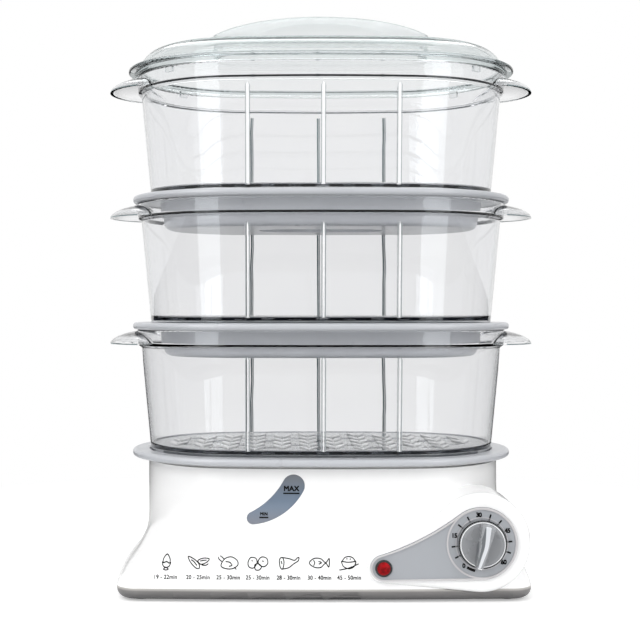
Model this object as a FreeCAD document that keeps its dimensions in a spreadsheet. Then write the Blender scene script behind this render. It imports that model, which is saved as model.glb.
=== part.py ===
import FreeCAD, Part
import math
import os
from types import SimpleNamespace

import Sketcher
from FreeCAD import Placement, Rotation, Vector

# Three-tier electric food steamer: a white base with water tank, heater and timer,
# three clear baskets, each standing on a drip tray, and a clear lid. Millimetres.
# X runs to the right, Y away from the front, Z up; the origin is on the table,
# under the middle of the stack.

doc = FreeCAD.newDocument("food_steamer")
sheet = doc.addObject("Spreadsheet::Sheet", "Dims")
up = Vector(0, 0, 1)
nodes = {}


class Size(float):
    """A length with the formula that it came from, so a property can be bound to it."""

    def __new__(cls, value, formula=None):
        size = float.__new__(cls, value)
        size.formula = formula or repr(float(value))
        return size

    def joined(self, other, sign, value):
        right = other.formula if isinstance(other, Size) else repr(float(other))
        return Size(value, "(%s %s %s)" % (self.formula, sign, right))

    def __add__(self, other):
        return self.joined(other, "+", float(self) + float(other))

    def __sub__(self, other):
        return self.joined(other, "-", float(self) - float(other))

    def __mul__(self, other):
        return self.joined(other, "*", float(self) * float(other))

    def __truediv__(self, other):
        return self.joined(other, "/", float(self) / float(other))

    def __neg__(self):
        return Size(-float(self), "(0 - %s)" % self.formula)

    def __radd__(self, other):
        return Size(other) + self

    def __rsub__(self, other):
        return Size(other) - self

    def __rmul__(self, other):
        return self * other


# Driving dimensions: alias, value, what it is.
drivingSizes = [
    # the stack's plan, an oval of four arcs that all its pieces share
    ("lid_half_width", 150.0, "lid rim, half its width"),
    ("lid_half_depth", 93.0, "lid rim, half its depth"),
    ("lid_end_radius", 90.0, "lid rim, radius of its ends"),
    # heights of the stack
    ("foot_stand", 1.5, "feet below the bottom cover"),
    ("cover_height", 8.6, "bottom cover, height of its rim"),
    ("tray_level", 97.0, "first drip tray's flange, middle, above the table"),
    ("tier_pitch", 97.5, "from one tray to the next"),
    ("stack_gap", 0.2, "rest gap between stacked pieces"),
    # drip trays
    ("flange_half_width", 146.5, "tray flange"),
    ("flange_above", 2.4, "flange above its middle"),
    ("flange_below", 3.0, "flange below its middle"),
    ("tray_wall", 2.2, "tray wall"),
    ("foot_room", 0.9, "round a basket's foot in the tray's recess"),
    ("dish_half_width", 125.0, "dish under the flange, outside"),
    ("dish_step", 2.3, "step in the dish's side"),
    ("dish_step_drop", 13.6, "that step below the flange's middle"),
    ("dish_depth", 23.5, "dish floor's underside below the flange's middle"),
    ("dish_round", 6.0, "rounding under the dish"),
    ("chimney_half_length", 48.0, "steam chimney, inside"),
    ("chimney_radius", 20.0, "steam chimney's round ends, inside"),
    ("chimney_height", 15.0, "chimney above the dish's floor"),
    # baskets
    ("basket_half_width", 132.3, "basket's foot, outside"),
    ("basket_draft", 5.43, "slope of the basket's wall, degrees"),
    ("basket_wall", 2.2, "basket wall"),
    ("floor_level", 6.4, "basket floor's top above the tray's recess"),
    ("floor_thick", 2.2, "basket floor"),
    ("band_height", 12.0, "rim band"),
    ("band_step", 2.4, "rim band stands out from the wall"),
    ("rib_width", 3.0, "upright ribs in front and back walls"),
    ("rib_depth", 3.2, "ribs stand in from the wall"),
    ("rib_spacing", 55.0, "from rib to rib"),
    ("rib_top_drop", 18.0, "ribs end below the basket's rim"),
    ("handle_reach", 43.6, "hood handles, half axis along X"),
    ("handle_half_length", 48.0, "hood handles, half axis along Y"),
    ("handle_rise", 12.0, "hood handles, height of the dome"),
    ("handle_drop", 11.2, "handle's edge below the rim"),
    ("handle_centre", 121.0, "handle's middle from the stack's"),
    ("handle_wall", 2.2, "handle wall"),
    ("slot_length", 11.0, "floor slots, along X"),
    ("slot_width", 3.0, "floor slots"),
    ("slot_spacing", 6.4, "slots in one cell"),
    ("cell_width", 20.0, "floor cells, along X"),
    ("cell_depth", 49.0, "floor cells, along Y"),
    ("floor_margin", 16.0, "plain floor inside the basket's wall"),
    # lid
    ("lid_wall", 2.2, "lid wall"),
    ("lid_flange_low", 3.0, "lid flange's underside above its seat"),
    ("lid_flange_thick", 2.6, "lid flange"),
    ("lid_shoulder", 18.0, "rounding of the dome's shoulder"),
    ("lid_shoulder_height", 19.0, "shoulder above the seat"),
    ("lid_height", 24.5, "dome above the seat"),
    ("lug_length", 7.0, "lugs that keep the lid in place"),
    ("lug_height", 4.0, "lugs below the seat"),
    ("grip_half_length", 84.0, "raised grip, half its length"),
    ("grip_half_width", 25.0, "raised grip, half its width"),
    ("grip_height", 24.5, "grip above the dome"),
    ("grip_long_axis", 92.0, "grip's crown, half axis along X"),
    ("grip_cross_axis", 31.0, "grip's crown, half axis along Y"),
    # base housing
    ("housing_top", 91.5, "housing's top edge above the table"),
    ("housing_wall", 2.5, "housing wall"),
    ("column_left", 134.0, "column, half width on the left"),
    ("column_right", 136.7, "column, half width on the right"),
    ("column_front", 79.5, "column, half depth in front"),
    ("column_back", 78.0, "column, half depth behind"),
    ("skirt_half_width", 152.6, "skirt at its foot, half width"),
    ("skirt_front", 104.5, "skirt at its foot, in front"),
    ("skirt_back", 98.0, "skirt at its foot, behind"),
    ("skirt_corner", 16.0, "skirt's corner radius"),
    ("skirt_side_bend", 900.0, "skirt's ends, bend radius seen from above"),
    ("skirt_front_bend", 2600.0, "skirt's front and back, bend radius"),
    ("column_corner", 68.0, "column's corner radius"),
    ("column_side_bend", 80.0, "column's ends, bend radius seen from above"),
    ("column_front_bend", 660.0, "column's front and back, bend radius"),
    ("pod_front", 106.0, "front of the dial pod"),
    ("pod_radius", 35.0, "dial pod round the dial"),
    ("pod_tail_radius", 11.0, "dial pod round the lamp"),
    ("pod_round", 3.5, "rounding of the pod's front edge"),
    ("cover_round", 7.0, "bottom cover's lower edge"),
    ("cover_floor", 2.5, "bottom cover's floor"),
    # control panel
    ("dial_x", 110.1, "dial's centre"),
    ("dial_height", 42.9, "dial's centre above the table"),
    ("lamp_x", 41.3, "lamp's centre"),
    ("lamp_height", 25.5, "lamp's centre above the table"),
    ("panel_radius", 25.3, "panel round the dial"),
    ("panel_tail_radius", 9.2, "panel round the lamp"),
    ("panel_bay", 180.0, "radius of the panel's hollow upper edge"),
    ("panel_thick", 2.0, "panel plate"),
    ("panel_rim", 1.2, "width of the panel's raised rim"),
    ("panel_rim_height", 0.8, "rim above the plate"),
    ("panel_sink", 0.8, "panel set into the pod's front"),
    ("knob_radius", 17.0, "timer knob"),
    ("knob_skirt", 4.5, "knob's disc"),
    ("knob_blade", 10.0, "grip rib above the disc"),
    ("knob_gap", 0.6, "between knob and panel"),
    ("knob_turn", 13.0, "grip rib from upright, degrees"),
    ("shaft_radius", 3.0, "timer shaft"),
    ("shaft_gap", 0.08, "running clearance of the shaft"),
    ("lamp_radius", 6.0, "lamp lens, flange"),
    ("lamp_stem", 4.2, "lamp lens, body"),
    # timer
    ("timer_radius", 23.0, "timer's case"),
    ("timer_depth", 24.0, "timer's case"),
    ("timer_ear", 17.0, "timer's screws from the shaft"),
    ("bell_radius", 15.0, "timer's bell"),
    ("bell_depth", 6.0, "bell"),
    ("bell_wall", 1.0, "bell"),
    # level window
    ("window_x", 21.7, "big end, to the left of the middle"),
    ("window_height", 79.5, "big end above the table"),
    ("window_radius", 8.0, "big end"),
    ("window_tail_x", 51.1, "small end, to the left of the middle"),
    ("window_tail_height", 56.2, "small end above the table"),
    ("window_tail_radius", 4.3, "small end"),
    ("window_outer_bend", 45.0, "radius of the lower edge"),
    ("window_inner_bend", 55.0, "radius of the upper edge"),
    ("window_gap", 0.15, "round the window"),
    # water tank
    ("tank_half_width", 130.4, "tank, outside, at its top"),
    ("tank_low_half_width", 119.0, "tank, outside, near its floor"),
    ("tank_wall", 2.0, "tank wall"),
    ("tank_floor", 30.0, "tank floor's top above the table"),
    ("tank_flange", 1.6, "tank's flange on the housing's top"),
    # heater
    ("heater_radius", 36.0, "heating plate"),
    ("heater_flange", 42.0, "heating plate's flange, radius"),
    ("heater_x", 0.0, "heater's centre"),
    ("element_radius", 24.0, "sheathed element's ring"),
    ("element_tube", 3.2, "sheathed element, radius"),
    ("seal_thick", 1.5, "heater's seal"),
    ("clamp_thick", 2.0, "heater's clamp ring"),
    ("steam_ring_radius", 46.0, "steam ring, outside"),
    ("steam_ring_height", 30.0, "steam ring"),
    # fasteners and fittings
    ("screw_radius", 1.5, "screw's shank"),
    ("screw_head", 3.0, "screw's head radius"),
    ("screw_head_height", 2.0, "screw's head"),
    ("boss_radius", 4.2, "screw bosses"),
    ("boss_x", 118.0, "corner bosses from the middle"),
    ("boss_y", 78.0, "corner bosses from the middle"),
    ("foot_radius", 8.0, "rubber feet"),
    ("foot_x", 130.5, "feet from the middle"),
    ("foot_y", 82.0, "feet from the middle"),
    ("gland_radius", 5.5, "cord bush, outside"),
    ("gland_bore", 3.6, "cord bush, bore"),
    ("gland_x", 85.0, "cord bush, to the right"),
    ("gland_height", 24.0, "cord bush above the table"),
    ("wire_radius", 1.1, "inner leads"),
    ("terminal_x", 64.0, "terminal block's middle, to the right"),
    ("terminal_y", 70.0, "terminal block's middle, behind"),
    ("terminal_length", 30.0, "terminal block"),
    ("terminal_depth", 14.0, "terminal block"),
    ("terminal_height", 13.0, "terminal block"),
    ("thermostat_radius", 8.0, "thermostat"),
    ("thermostat_height", 6.0, "thermostat"),
    ("fuse_radius", 2.0, "thermal fuse"),
    ("fuse_length", 14.0, "thermal fuse"),
]

D = SimpleNamespace()
for row, (alias, value, meaning) in enumerate(drivingSizes, start=1):
    sheet.set("A%d" % row, alias)
    sheet.set("B%d" % row, str(value))
    sheet.set("C%d" % row, meaning)
    sheet.setAlias("B%d" % row, alias)
doc.recompute()
for alias, value, meaning in drivingSizes:
    setattr(D, alias, Size(sheet.get(alias), "Dims." + alias))


# Helpers for the tree

def bind(item, prop, size):
    """Set a property, and tie it to the sheet where it comes from there."""
    if isinstance(size, Size):
        item.setExpression(prop, size.formula)
    else:
        setattr(item, prop, size)


def place(item, x=0.0, y=0.0, z=0.0, turn=None):
    item.Placement = Placement(Vector(float(x), float(y), float(z)), turn or Rotation())
    for axis, value in (("x", x), ("y", y), ("z", z)):
        if isinstance(value, Size):
            item.setExpression("Placement.Base." + axis, value.formula)


def node(name, item):
    item.Label = name
    nodes[name] = item
    return item


def setShape(name, shape, lift=0.0):
    """A piece whose surfaces need the modeller's own functions, stood at its own height."""
    item = doc.addObject("Part::Feature", name)
    item.Shape = shape
    place(item, 0.0, 0.0, lift)
    return node(name, item)


def newBody(name):
    return node(name, doc.addObject("PartDesign::Body", name))


def newSketch(body, name, role="XY_Plane", height=None):
    sketch = body.newObject("Sketcher::SketchObject", name)
    plane = [item for item in body.Origin.OriginFeatures if item.Role == role][0]
    sketch.AttachmentSupport = [(plane, "")]
    sketch.MapMode = "FlatFace"
    if height is not None:
        sketch.setExpression("AttachmentOffset.Base.z", Size(height, getattr(height, "formula", None)).formula)
    return sketch


def pin(sketch, geometry, end, x, y):
    """Hold a sketch point at x, y from the origin."""
    for kind, value, axis in (("DistanceX", x, -2), ("DistanceY", y, -1)):
        if float(value) == 0.0:
            sketch.addConstraint(Sketcher.Constraint("PointOnObject", geometry, end, axis))
        else:
            number = sketch.addConstraint(Sketcher.Constraint(kind, -1, 1, geometry, end, float(value)))
            if isinstance(value, Size):
                sketch.setExpression("Constraints[%d]" % number, value.formula)


def drawCircle(sketch, x, y, radius):
    circle = Part.Circle(Vector(float(x), float(y), 0), up, float(radius))
    geometry = sketch.addGeometry(circle, False)
    if float(x) == 0.0 and float(y) == 0.0:
        sketch.addConstraint(Sketcher.Constraint("Coincident", geometry, 3, -1, 1))
    else:
        pin(sketch, geometry, 3, x, y)
    number = sketch.addConstraint(Sketcher.Constraint("Radius", geometry, float(radius)))
    if isinstance(radius, Size):
        sketch.setExpression("Constraints[%d]" % number, radius.formula)


def drawPolygon(sketch, points):
    count = len(points)
    first = sketch.GeometryCount
    for i in range(count):
        (x1, y1), (x2, y2) = points[i], points[(i + 1) % count]
        line = Part.LineSegment(Vector(float(x1), float(y1), 0), Vector(float(x2), float(y2), 0))
        sketch.addGeometry(line, False)
    for i in range(count):
        sketch.addConstraint(Sketcher.Constraint("Coincident", first + i, 2, first + (i + 1) % count, 1))
    for i, (x, y) in enumerate(points):
        pin(sketch, first + i, 1, x, y)


def drawBox(sketch, x1, y1, x2, y2):
    drawPolygon(sketch, [(x1, y1), (x2, y1), (x2, y2), (x1, y2)])


def feature(body, kind, name, sketch, length, backwards=False):
    """A pad or a pocket of the sketch."""
    item = body.newObject("PartDesign::" + kind, name)
    item.Profile = sketch
    bind(item, "Length", length)
    item.Reversed = backwards
    sketch.Visibility = False
    return item


def revolve(body, name, points):
    """A turned body about its own Z: the points are radius and height."""
    sketch = newSketch(body, name + "Section", "XZ_Plane")
    drawPolygon(sketch, points)
    item = body.newObject("PartDesign::Revolution", name)
    item.Profile = sketch
    item.ReferenceAxis = (sketch, ["V_Axis"])
    item.Angle = 360
    return item


facing = Rotation(Vector(1, 0, 0), 90)  # local Z to the front, local Y up


# Helpers for shapes

def wireOf(corners, closed=True):
    """Straight lines through the corners, with an arc at each corner that has a radius."""
    count = len(corners)
    entries, exits, arcs = [], [], []
    for i, (point, radius) in enumerate(corners):
        last = not closed and i in (0, count - 1)
        if radius <= 0 or last:
            entries.append(point)
            exits.append(point)
            arcs.append(None)
            continue
        before = (corners[i - 1][0] - point).normalize()
        after = (corners[(i + 1) % count][0] - point).normalize()
        half = before.getAngle(after) / 2
        reach = radius / math.tan(half)
        middle = (before + after).normalize() * (radius / math.sin(half) - radius)
        entries.append(point + before * reach)
        exits.append(point + after * reach)
        arcs.append(Part.Arc(entries[-1], point + middle, exits[-1]).toShape())
    edges = []
    for i in range(count):
        if arcs[i]:
            edges.append(arcs[i])
        following = (i + 1) % count
        if (closed or following) and exits[i].distanceToPoint(entries[following]) > 1e-5:
            edges.append(Part.makeLine(exits[i], entries[following]))
    return Part.Wire(edges)


def section(corners):
    """A face in the XZ plane from (x, z, rounding) corners."""
    points = [(Vector(float(c[0]), 0, float(c[1])), float(c[2]) if len(c) > 2 else 0.0) for c in corners]
    return Part.Face(wireOf(points))


def thickened(path, wall):
    """A wall of even thickness to the left of a path of (x, z, rounding) points."""
    far = []
    count = len(path)
    for i, (x, z, rounding) in enumerate(path):
        here = Vector(x, z, 0)
        before = here - Vector(path[i - 1][0], path[i - 1][1], 0) if i else None
        after = Vector(path[i + 1][0], path[i + 1][1], 0) - here if i < count - 1 else None
        before = (before or after).normalize()
        after = after.normalize() if after else before
        left = Vector(-before.y, before.x, 0) + Vector(-after.y, after.x, 0)
        left = left.normalize()
        reach = wall / left.dot(Vector(-before.y, before.x, 0))
        turning = before.cross(after).z
        inner = rounding - wall if turning > 0 else rounding + wall
        moved = here + left * reach
        far.append((moved.x, moved.y, max(inner, 0.0) if rounding else 0.0))
    return list(path) + far[::-1]


def solidOf(shape):
    shape = shape.removeSplitter()
    if shape.Volume < 0:
        shape.reverse()
    return shape.Solids[0] if len(shape.Solids) == 1 else shape


def meeting(first, reachFirst, second, reachSecond, side):
    """The point at these distances from two points, to the left (+1) or right (-1) of the line."""
    across = second - first
    length = across.Length
    along = (reachFirst ** 2 - reachSecond ** 2 + length ** 2) / (2 * length)
    offset = math.sqrt(reachFirst ** 2 - along ** 2)
    across = across.normalize()
    return first + across * along + Vector(-across.y, across.x, 0) * (offset * side)


def arcEdge(centre, radius, start, end):
    """An arc from one angle to another, in degrees, either way round."""
    def at(angle):
        return centre + Vector(math.cos(math.radians(angle)), math.sin(math.radians(angle)), 0) * radius
    return Part.Arc(at(start), at((start + end) / 2), at(end)).toShape()


def angleOf(vector):
    return math.degrees(math.atan2(vector.y, vector.x))


def block(x1, y1, z1, x2, y2, z2):
    return Part.makeBox(x2 - x1, y2 - y1, z2 - z1, Vector(x1, y1, z1))


def stood(face, front, back):
    """A prism of a shape drawn in X and height, from y = front to y = back."""
    face = face.copy()
    face.rotate(Vector(), Vector(1, 0, 0), 90)
    face.translate(Vector(0, front, 0))
    return face.extrude(Vector(0, back - front, 0))


# The oval plan: the ends turn about (+-endCentre, 0), front and back about (0, +-sideCentre)

endCentre = D.lid_half_width - D.lid_end_radius
sideRadius = (endCentre ** 2 + D.lid_half_depth ** 2 - D.lid_end_radius ** 2) / (
    2 * (float(D.lid_half_depth) - float(D.lid_end_radius)))
sideCentre = sideRadius - D.lid_half_depth
endTurn = math.degrees(math.atan2(sideCentre, endCentre))
sideTurn = 90 - endTurn
depthLess = float(D.lid_half_width - D.lid_half_depth)


def ovalWire(halfWidth, z=0.0):
    end = halfWidth - endCentre
    side = sideRadius + halfWidth - D.lid_half_width
    edges = [
        arcEdge(Vector(float(endCentre), 0, z), end, -endTurn, endTurn),
        arcEdge(Vector(0, -float(sideCentre), z), side, endTurn, 180 - endTurn),
        arcEdge(Vector(-float(endCentre), 0, z), end, 180 - endTurn, 180 + endTurn),
        arcEdge(Vector(0, float(sideCentre), z), side, 180 + endTurn, 360 - endTurn),
    ]
    return Part.Wire(edges)


def ovalDisc(halfWidth, low, high):
    return Part.Face(ovalWire(halfWidth, low)).extrude(Vector(0, 0, high - low))


def ovalRing(corners):
    """Carry a section of (half width, z) corners round the oval."""
    profile = section(corners)
    ends = profile.copy()
    ends.rotate(Vector(float(endCentre), 0, 0), up, -endTurn)
    right = ends.revolve(Vector(float(endCentre), 0, 0), up, 2 * endTurn)
    side = profile.copy()
    side.rotate(Vector(), up, -90)
    side.translate(Vector(0, depthLess, 0))
    side.rotate(Vector(0, float(sideCentre), 0), up, -sideTurn)
    front = side.revolve(Vector(0, float(sideCentre), 0), up, 2 * sideTurn)
    left, back = right.copy(), front.copy()
    left.rotate(Vector(), up, 180)
    back.rotate(Vector(), up, 180)
    parts = []
    for piece in (right, front, left, back):
        if piece.Volume < 0:
            piece.reverse()
        parts.append(piece)
    return parts[0].fuse(parts[1:]).removeSplitter()


def frontOf(halfWidth, x):
    """How far in front of the middle the oval stands at x, on its front side."""
    return math.sqrt((sideRadius + halfWidth - D.lid_half_width) ** 2 - x ** 2) - sideCentre


def stadium(halfLength, radius, z=0.0):
    """A face with straight sides along X and round ends."""
    reach = float(halfLength - radius)
    edges = [
        Part.makeLine(Vector(-reach, -radius, z), Vector(reach, -radius, z)),
        arcEdge(Vector(reach, 0, z), radius, -90, 90),
        Part.makeLine(Vector(reach, radius, z), Vector(-reach, radius, z)),
        arcEdge(Vector(-reach, 0, z), radius, 90, 270),
    ]
    return Part.Face(Part.Wire(edges))


# Drip trays

def makeDripTray():
    wall = float(D.tray_wall)
    recess = float(D.basket_half_width + D.foot_room)
    dish = float(D.dish_half_width)
    step = float(D.dish_step)
    low = -float(D.dish_depth)
    stepLow = -float(D.dish_step_drop)
    hub = dish - 25.0  # where the swept ring of the dish ends and its flat floor begins
    tray = ovalRing([
        (D.flange_half_width, -D.flange_below, D.flange_above),
        (D.flange_half_width, D.flange_above, D.flange_above),
        (recess + 0.3, D.flange_above, 0.8),
        (recess, 0.0, 0.4),
        (dish - wall, 0.0, 1.5),
        (dish - wall - 0.4, stepLow + wall, 0.8),
        (dish - wall - step, stepLow + wall - 1.0, 0.8),
        (dish - wall - step - 0.7, low + wall, D.dish_round - wall),
        (hub, low + wall),
        (hub, low),
        (dish - step - 0.7, low, D.dish_round),
        (dish - step, stepLow - 1.0, 0.8),
        (dish - 0.4, stepLow, 0.8),
        (dish, -D.flange_below, 0.8),
    ])
    chimney = stadium(D.chimney_half_length, D.chimney_radius, low)
    collar = stadium(D.chimney_half_length + wall, float(D.chimney_radius) + wall, low)
    tray = tray.fuse([
        ovalDisc(hub, low, low + wall),
        collar.extrude(Vector(0, 0, float(D.chimney_height))),
    ])
    tray = tray.cut(chimney.extrude(Vector(0, 0, float(D.chimney_height))))
    return solidOf(tray)


# Baskets

basketTop = D.tier_pitch - D.flange_below - D.stack_gap  # rim above the tray's middle
slope = math.tan(math.radians(D.basket_draft))


def basketWall(z):
    """The basket's outer half width at a height above its foot."""
    return D.basket_half_width + z * slope


def basketBlank():
    foot = float(D.stack_gap)
    top = float(basketTop)
    wall = float(D.basket_wall)
    floor = float(D.floor_level)
    under = float(D.floor_level - D.floor_thick)
    bandLow = top - D.band_height
    bandWide = basketWall(bandLow) + D.band_step
    hub = float(D.basket_half_width) - 25.0
    ring = ovalRing([
        (basketWall(foot), foot, 0.5),
        (basketWall(bandLow - 1.5), bandLow - 1.5, 0.8),
        (bandWide, bandLow, 0.8),
        (bandWide + 0.6, top, 0.9),
        (bandWide + 0.6 - wall, top, 0.9),
        (bandWide - wall, bandLow + wall, 0.8),
        (basketWall(bandLow + 0.5) - wall, bandLow + 0.5, 0.8),
        (basketWall(floor) - wall, floor, 1.5),
        (hub, floor),
        (hub, under),
        (basketWall(under) - wall, under, 0.3),
        (basketWall(foot) - wall, foot, 0.5),
    ])
    return ring.fuse(ovalDisc(hub, under, floor))


def wallRibs():
    """Upright ribs inside the front and back walls."""
    low = float(D.floor_level) - 0.5
    high = float(basketTop - D.rib_top_drop)
    half = float(D.rib_width) / 2
    ribs = []
    for column in (-1, 0, 1):
        x = column * float(D.rib_spacing)
        edge = abs(x) + half
        inside = [frontOf(basketWall(z) - D.basket_wall, edge) for z in (low, high)]
        corners = [
            Vector(x - half, -inside[0] - 0.8, low),
            Vector(x - half, -inside[1] - 0.8, high),
            Vector(x - half, -inside[1] + D.rib_depth, high),
            Vector(x - half, -inside[0] + D.rib_depth, low),
        ]
        rib = Part.Face(Part.makePolygon(corners + corners[:1])).extrude(Vector(2 * half, 0, 0))
        behind = rib.copy()
        behind.rotate(Vector(), up, 180)
        ribs += [rib, behind]
    return ribs


def hood(side, filled):
    """A handle: the upper half of a flat dome, hollow under its wall."""
    inset = 0.0 if filled else float(D.handle_wall)
    dome = Part.makeSphere(1.0)
    scale = FreeCAD.Matrix()
    scale.scale(D.handle_reach - inset, D.handle_half_length - inset, D.handle_rise - inset)
    dome = dome.transformGeometry(scale)
    upper = block(-60, -60, 0 if filled else -1, 60, 60, 40)
    dome = dome.common(upper)
    dome.translate(Vector(side * float(D.handle_centre), 0, float(basketTop - D.handle_drop)))
    return dome


def floorSlots():
    """Slots in cells, with every other column of cells moved half a cell."""
    low = float(D.floor_level - D.floor_thick) - 1
    halfX = float(D.slot_length) / 2
    halfY = float(D.slot_width) / 2
    limit = float(basketWall(D.floor_level) - D.basket_wall - D.floor_margin)
    columns = int(limit / D.cell_width)
    slots = []
    for column in range(-columns, columns + 1):
        shift = 0.5 * (column % 2)
        for cell in range(-3, 4):
            for row in (-1, 0, 1):
                x = column * float(D.cell_width)
                y = (cell + shift) * float(D.cell_depth) + row * float(D.slot_spacing)
                if insideOval(limit, abs(x) + halfX, abs(y) + halfY):
                    face = stadium(halfX, halfY, low)
                    face.translate(Vector(x, y, 0))
                    slots.append(face.extrude(Vector(0, 0, float(D.floor_thick) + 3)))
    return slots


def insideOval(halfWidth, x, y):
    end = halfWidth - endCentre
    if x > endCentre:
        return math.hypot(x - endCentre, y) < end
    return y < frontOf(halfWidth, x)


def makeBasket():
    basket = basketBlank()
    filled = ovalDisc(float(basketWall(basketTop)) - 1.0, float(D.floor_level), float(basketTop) + 5)
    for side in (-1, 1):
        handle = hood(side, True).cut(hood(side, False)).cut(filled)
        outer = [solid for solid in handle.Solids if abs(solid.CenterOfMass.x) > D.basket_half_width]
        basket = basket.fuse(outer)
    basket = basket.fuse(wallRibs())
    basket = basket.cut(Part.makeCompound(floorSlots()))
    return solidOf(basket)


# Lid

lidSeat = D.tray_level + D.tier_pitch * 2 + basketTop + D.stack_gap


def makeLid():
    wall = float(D.lid_wall)
    bandInner = basketWall(basketTop - D.band_height) + D.band_step - D.basket_wall
    flangeLow = float(D.lid_flange_low)
    flangeHigh = float(D.lid_flange_low + D.lid_flange_thick)
    rise = 142.0 - 150.0 + float(D.lid_half_width)  # foot of the dome
    crownIn = rise - 42.0
    roof = thickened([
        (crownIn, float(D.lid_height), 0.0),
        (rise - 5.0, float(D.lid_shoulder_height), float(D.lid_shoulder)),
        (rise, flangeHigh, 0.0),
    ], -wall)
    rim = ovalRing([
        (bandInner - 1.2, 0.0, 0.4),
        (bandInner + 4.2, 0.0, 0.6),
        (bandInner + 4.6, flangeLow, 0.4),
        (D.lid_half_width, flangeLow, 1.2),
        (D.lid_half_width, flangeHigh, 1.2),
        (rise - 1.0, flangeHigh + 0.4, 0.0),
        (rise - 3.2, flangeHigh + 0.4, 0.0),
    ])
    dome = ovalRing(roof)
    high = float(D.lid_height)
    inner = roof[-1][0]
    lid = rim.fuse([dome, ovalDisc(max(inner, crownIn), high - wall, high)])
    # the raised grip, hollow below, with upright sides and a low crown
    grip = crown(0.0).common(stadium(D.grip_half_length, D.grip_half_width, high - wall).extrude(up * 60))
    hollow = crown(wall).common(
        stadium(D.grip_half_length - wall, float(D.grip_half_width) - wall, high - wall - 5).extrude(up * 60))
    lid = lid.fuse(grip).cut(hollow)
    # lugs that drop inside the basket's rim
    for side in (-1, 1):
        for end in (-1, 1):
            lug = block(bandInner - 2.8 - endCentre, -D.lug_length / 2, -float(D.lug_height),
                        bandInner - 0.6 - endCentre, D.lug_length / 2, 1.0)
            lug.rotate(Vector(), up, 48 * side)
            lug.translate(Vector(float(endCentre), 0, 0))
            if end < 0:
                lug.rotate(Vector(), up, 180)
            lid = lid.fuse(lug)
    setShape("lid", solidOf(lid), lidSeat)


def crown(inset):
    """The grip's crown, a stretched ball about the dome's top."""
    ball = Part.makeSphere(1.0)
    scale = FreeCAD.Matrix()
    scale.scale(D.grip_long_axis - inset, D.grip_cross_axis - inset, D.grip_height - inset)
    ball = ball.transformGeometry(scale)
    ball.translate(Vector(0, 0, float(D.lid_height)))
    return ball


# Base housing: upright sections through the column and the flared skirt

housingLow = D.foot_stand + D.cover_height


def roundedPlan(z, left, right, front, back, corner, sideBend, frontBend):
    """A closed outline of eight arcs: slightly bowed sides joined by corner arcs."""
    quadrants = []
    for width, depth, flipX, flipY in ((right, back, 1, 1), (left, back, -1, 1),
                                       (left, front, -1, -1), (right, front, 1, -1)):
        side = Vector(width - sideBend, 0, 0)
        face = Vector(0, depth - frontBend, 0)
        middle = meeting(side, sideBend - corner, face, frontBend - corner, 1)
        onSide = side + (middle - side).normalize() * sideBend
        onFace = face + (middle - face).normalize() * frontBend
        bulge = middle + (onSide + onFace - middle * 2).normalize() * corner
        quadrants.append([Vector(p.x * flipX, p.y * flipY, z) for p in (onSide, bulge, onFace)])
    q1, q2, q3, q4 = quadrants
    edges = [
        Part.Arc(q4[0], Vector(right, 0, z), q1[0]).toShape(),
        Part.Arc(q1[0], q1[1], q1[2]).toShape(),
        Part.Arc(q1[2], Vector(0, back, z), q2[2]).toShape(),
        Part.Arc(q2[2], q2[1], q2[0]).toShape(),
        Part.Arc(q2[0], Vector(-left, 0, z), q3[0]).toShape(),
        Part.Arc(q3[0], q3[1], q3[2]).toShape(),
        Part.Arc(q3[2], Vector(0, -front, z), q4[2]).toShape(),
        Part.Arc(q4[2], q4[1], q4[0]).toShape(),
    ]
    return Part.Wire(edges)


# how far each level has flared from the column (0) to the skirt's foot (1):
# height above the cover's rim as a share, flare on the left, on the right, front and back, corner
flare = [
    (0.00, 1.00, 1.00, 1.00, 1.00),
    (0.06, 0.87, 0.95, 0.93, 0.93),
    (0.17, 0.48, 0.80, 0.68, 0.64),
    (0.29, 0.16, 0.60, 0.42, 0.35),
    (0.44, 0.01, 0.32, 0.18, 0.12),
    (0.60, 0.00, 0.09, 0.05, 0.03),
    (0.74, 0.00, 0.01, 0.01, 0.00),
    (0.87, 0.00, 0.00, 0.00, 0.00),
    (1.00, 0.00, 0.00, 0.00, 0.00),
]


def housingLoft(inset, below, above):
    """The housing's form, drawn in by inset, and run on past its ends."""
    low, high = float(housingLow), float(D.housing_top)
    plans = []
    for share, onLeft, onRight, onFace, onCorner in flare:
        def between(column, skirt, part):
            return float(column + (skirt - column) * part) - inset
        plans.append((
            low + (high - low) * share,
            between(D.column_left, D.skirt_half_width, onLeft),
            between(D.column_right, D.skirt_half_width, onRight),
            between(D.column_front, D.skirt_front, onFace),
            between(D.column_back, D.skirt_back, onFace),
            between(D.column_corner, D.skirt_corner, onCorner),
            between(D.column_side_bend, D.skirt_side_bend, onCorner ** 2),
            between(D.column_front_bend, D.skirt_front_bend, onCorner),
        ))
    wires = [roundedPlan(*plan) for plan in plans]
    body = Part.makeLoft(wires, True, False)
    extra = []
    if below:
        extra.append(Part.Face(roundedPlan(low, *plans[0][1:])).extrude(Vector(0, 0, -below)))
    if above:
        extra.append(Part.Face(roundedPlan(high, *plans[-1][1:])).extrude(Vector(0, 0, above)))
    return body.fuse(extra) if extra else body


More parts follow.
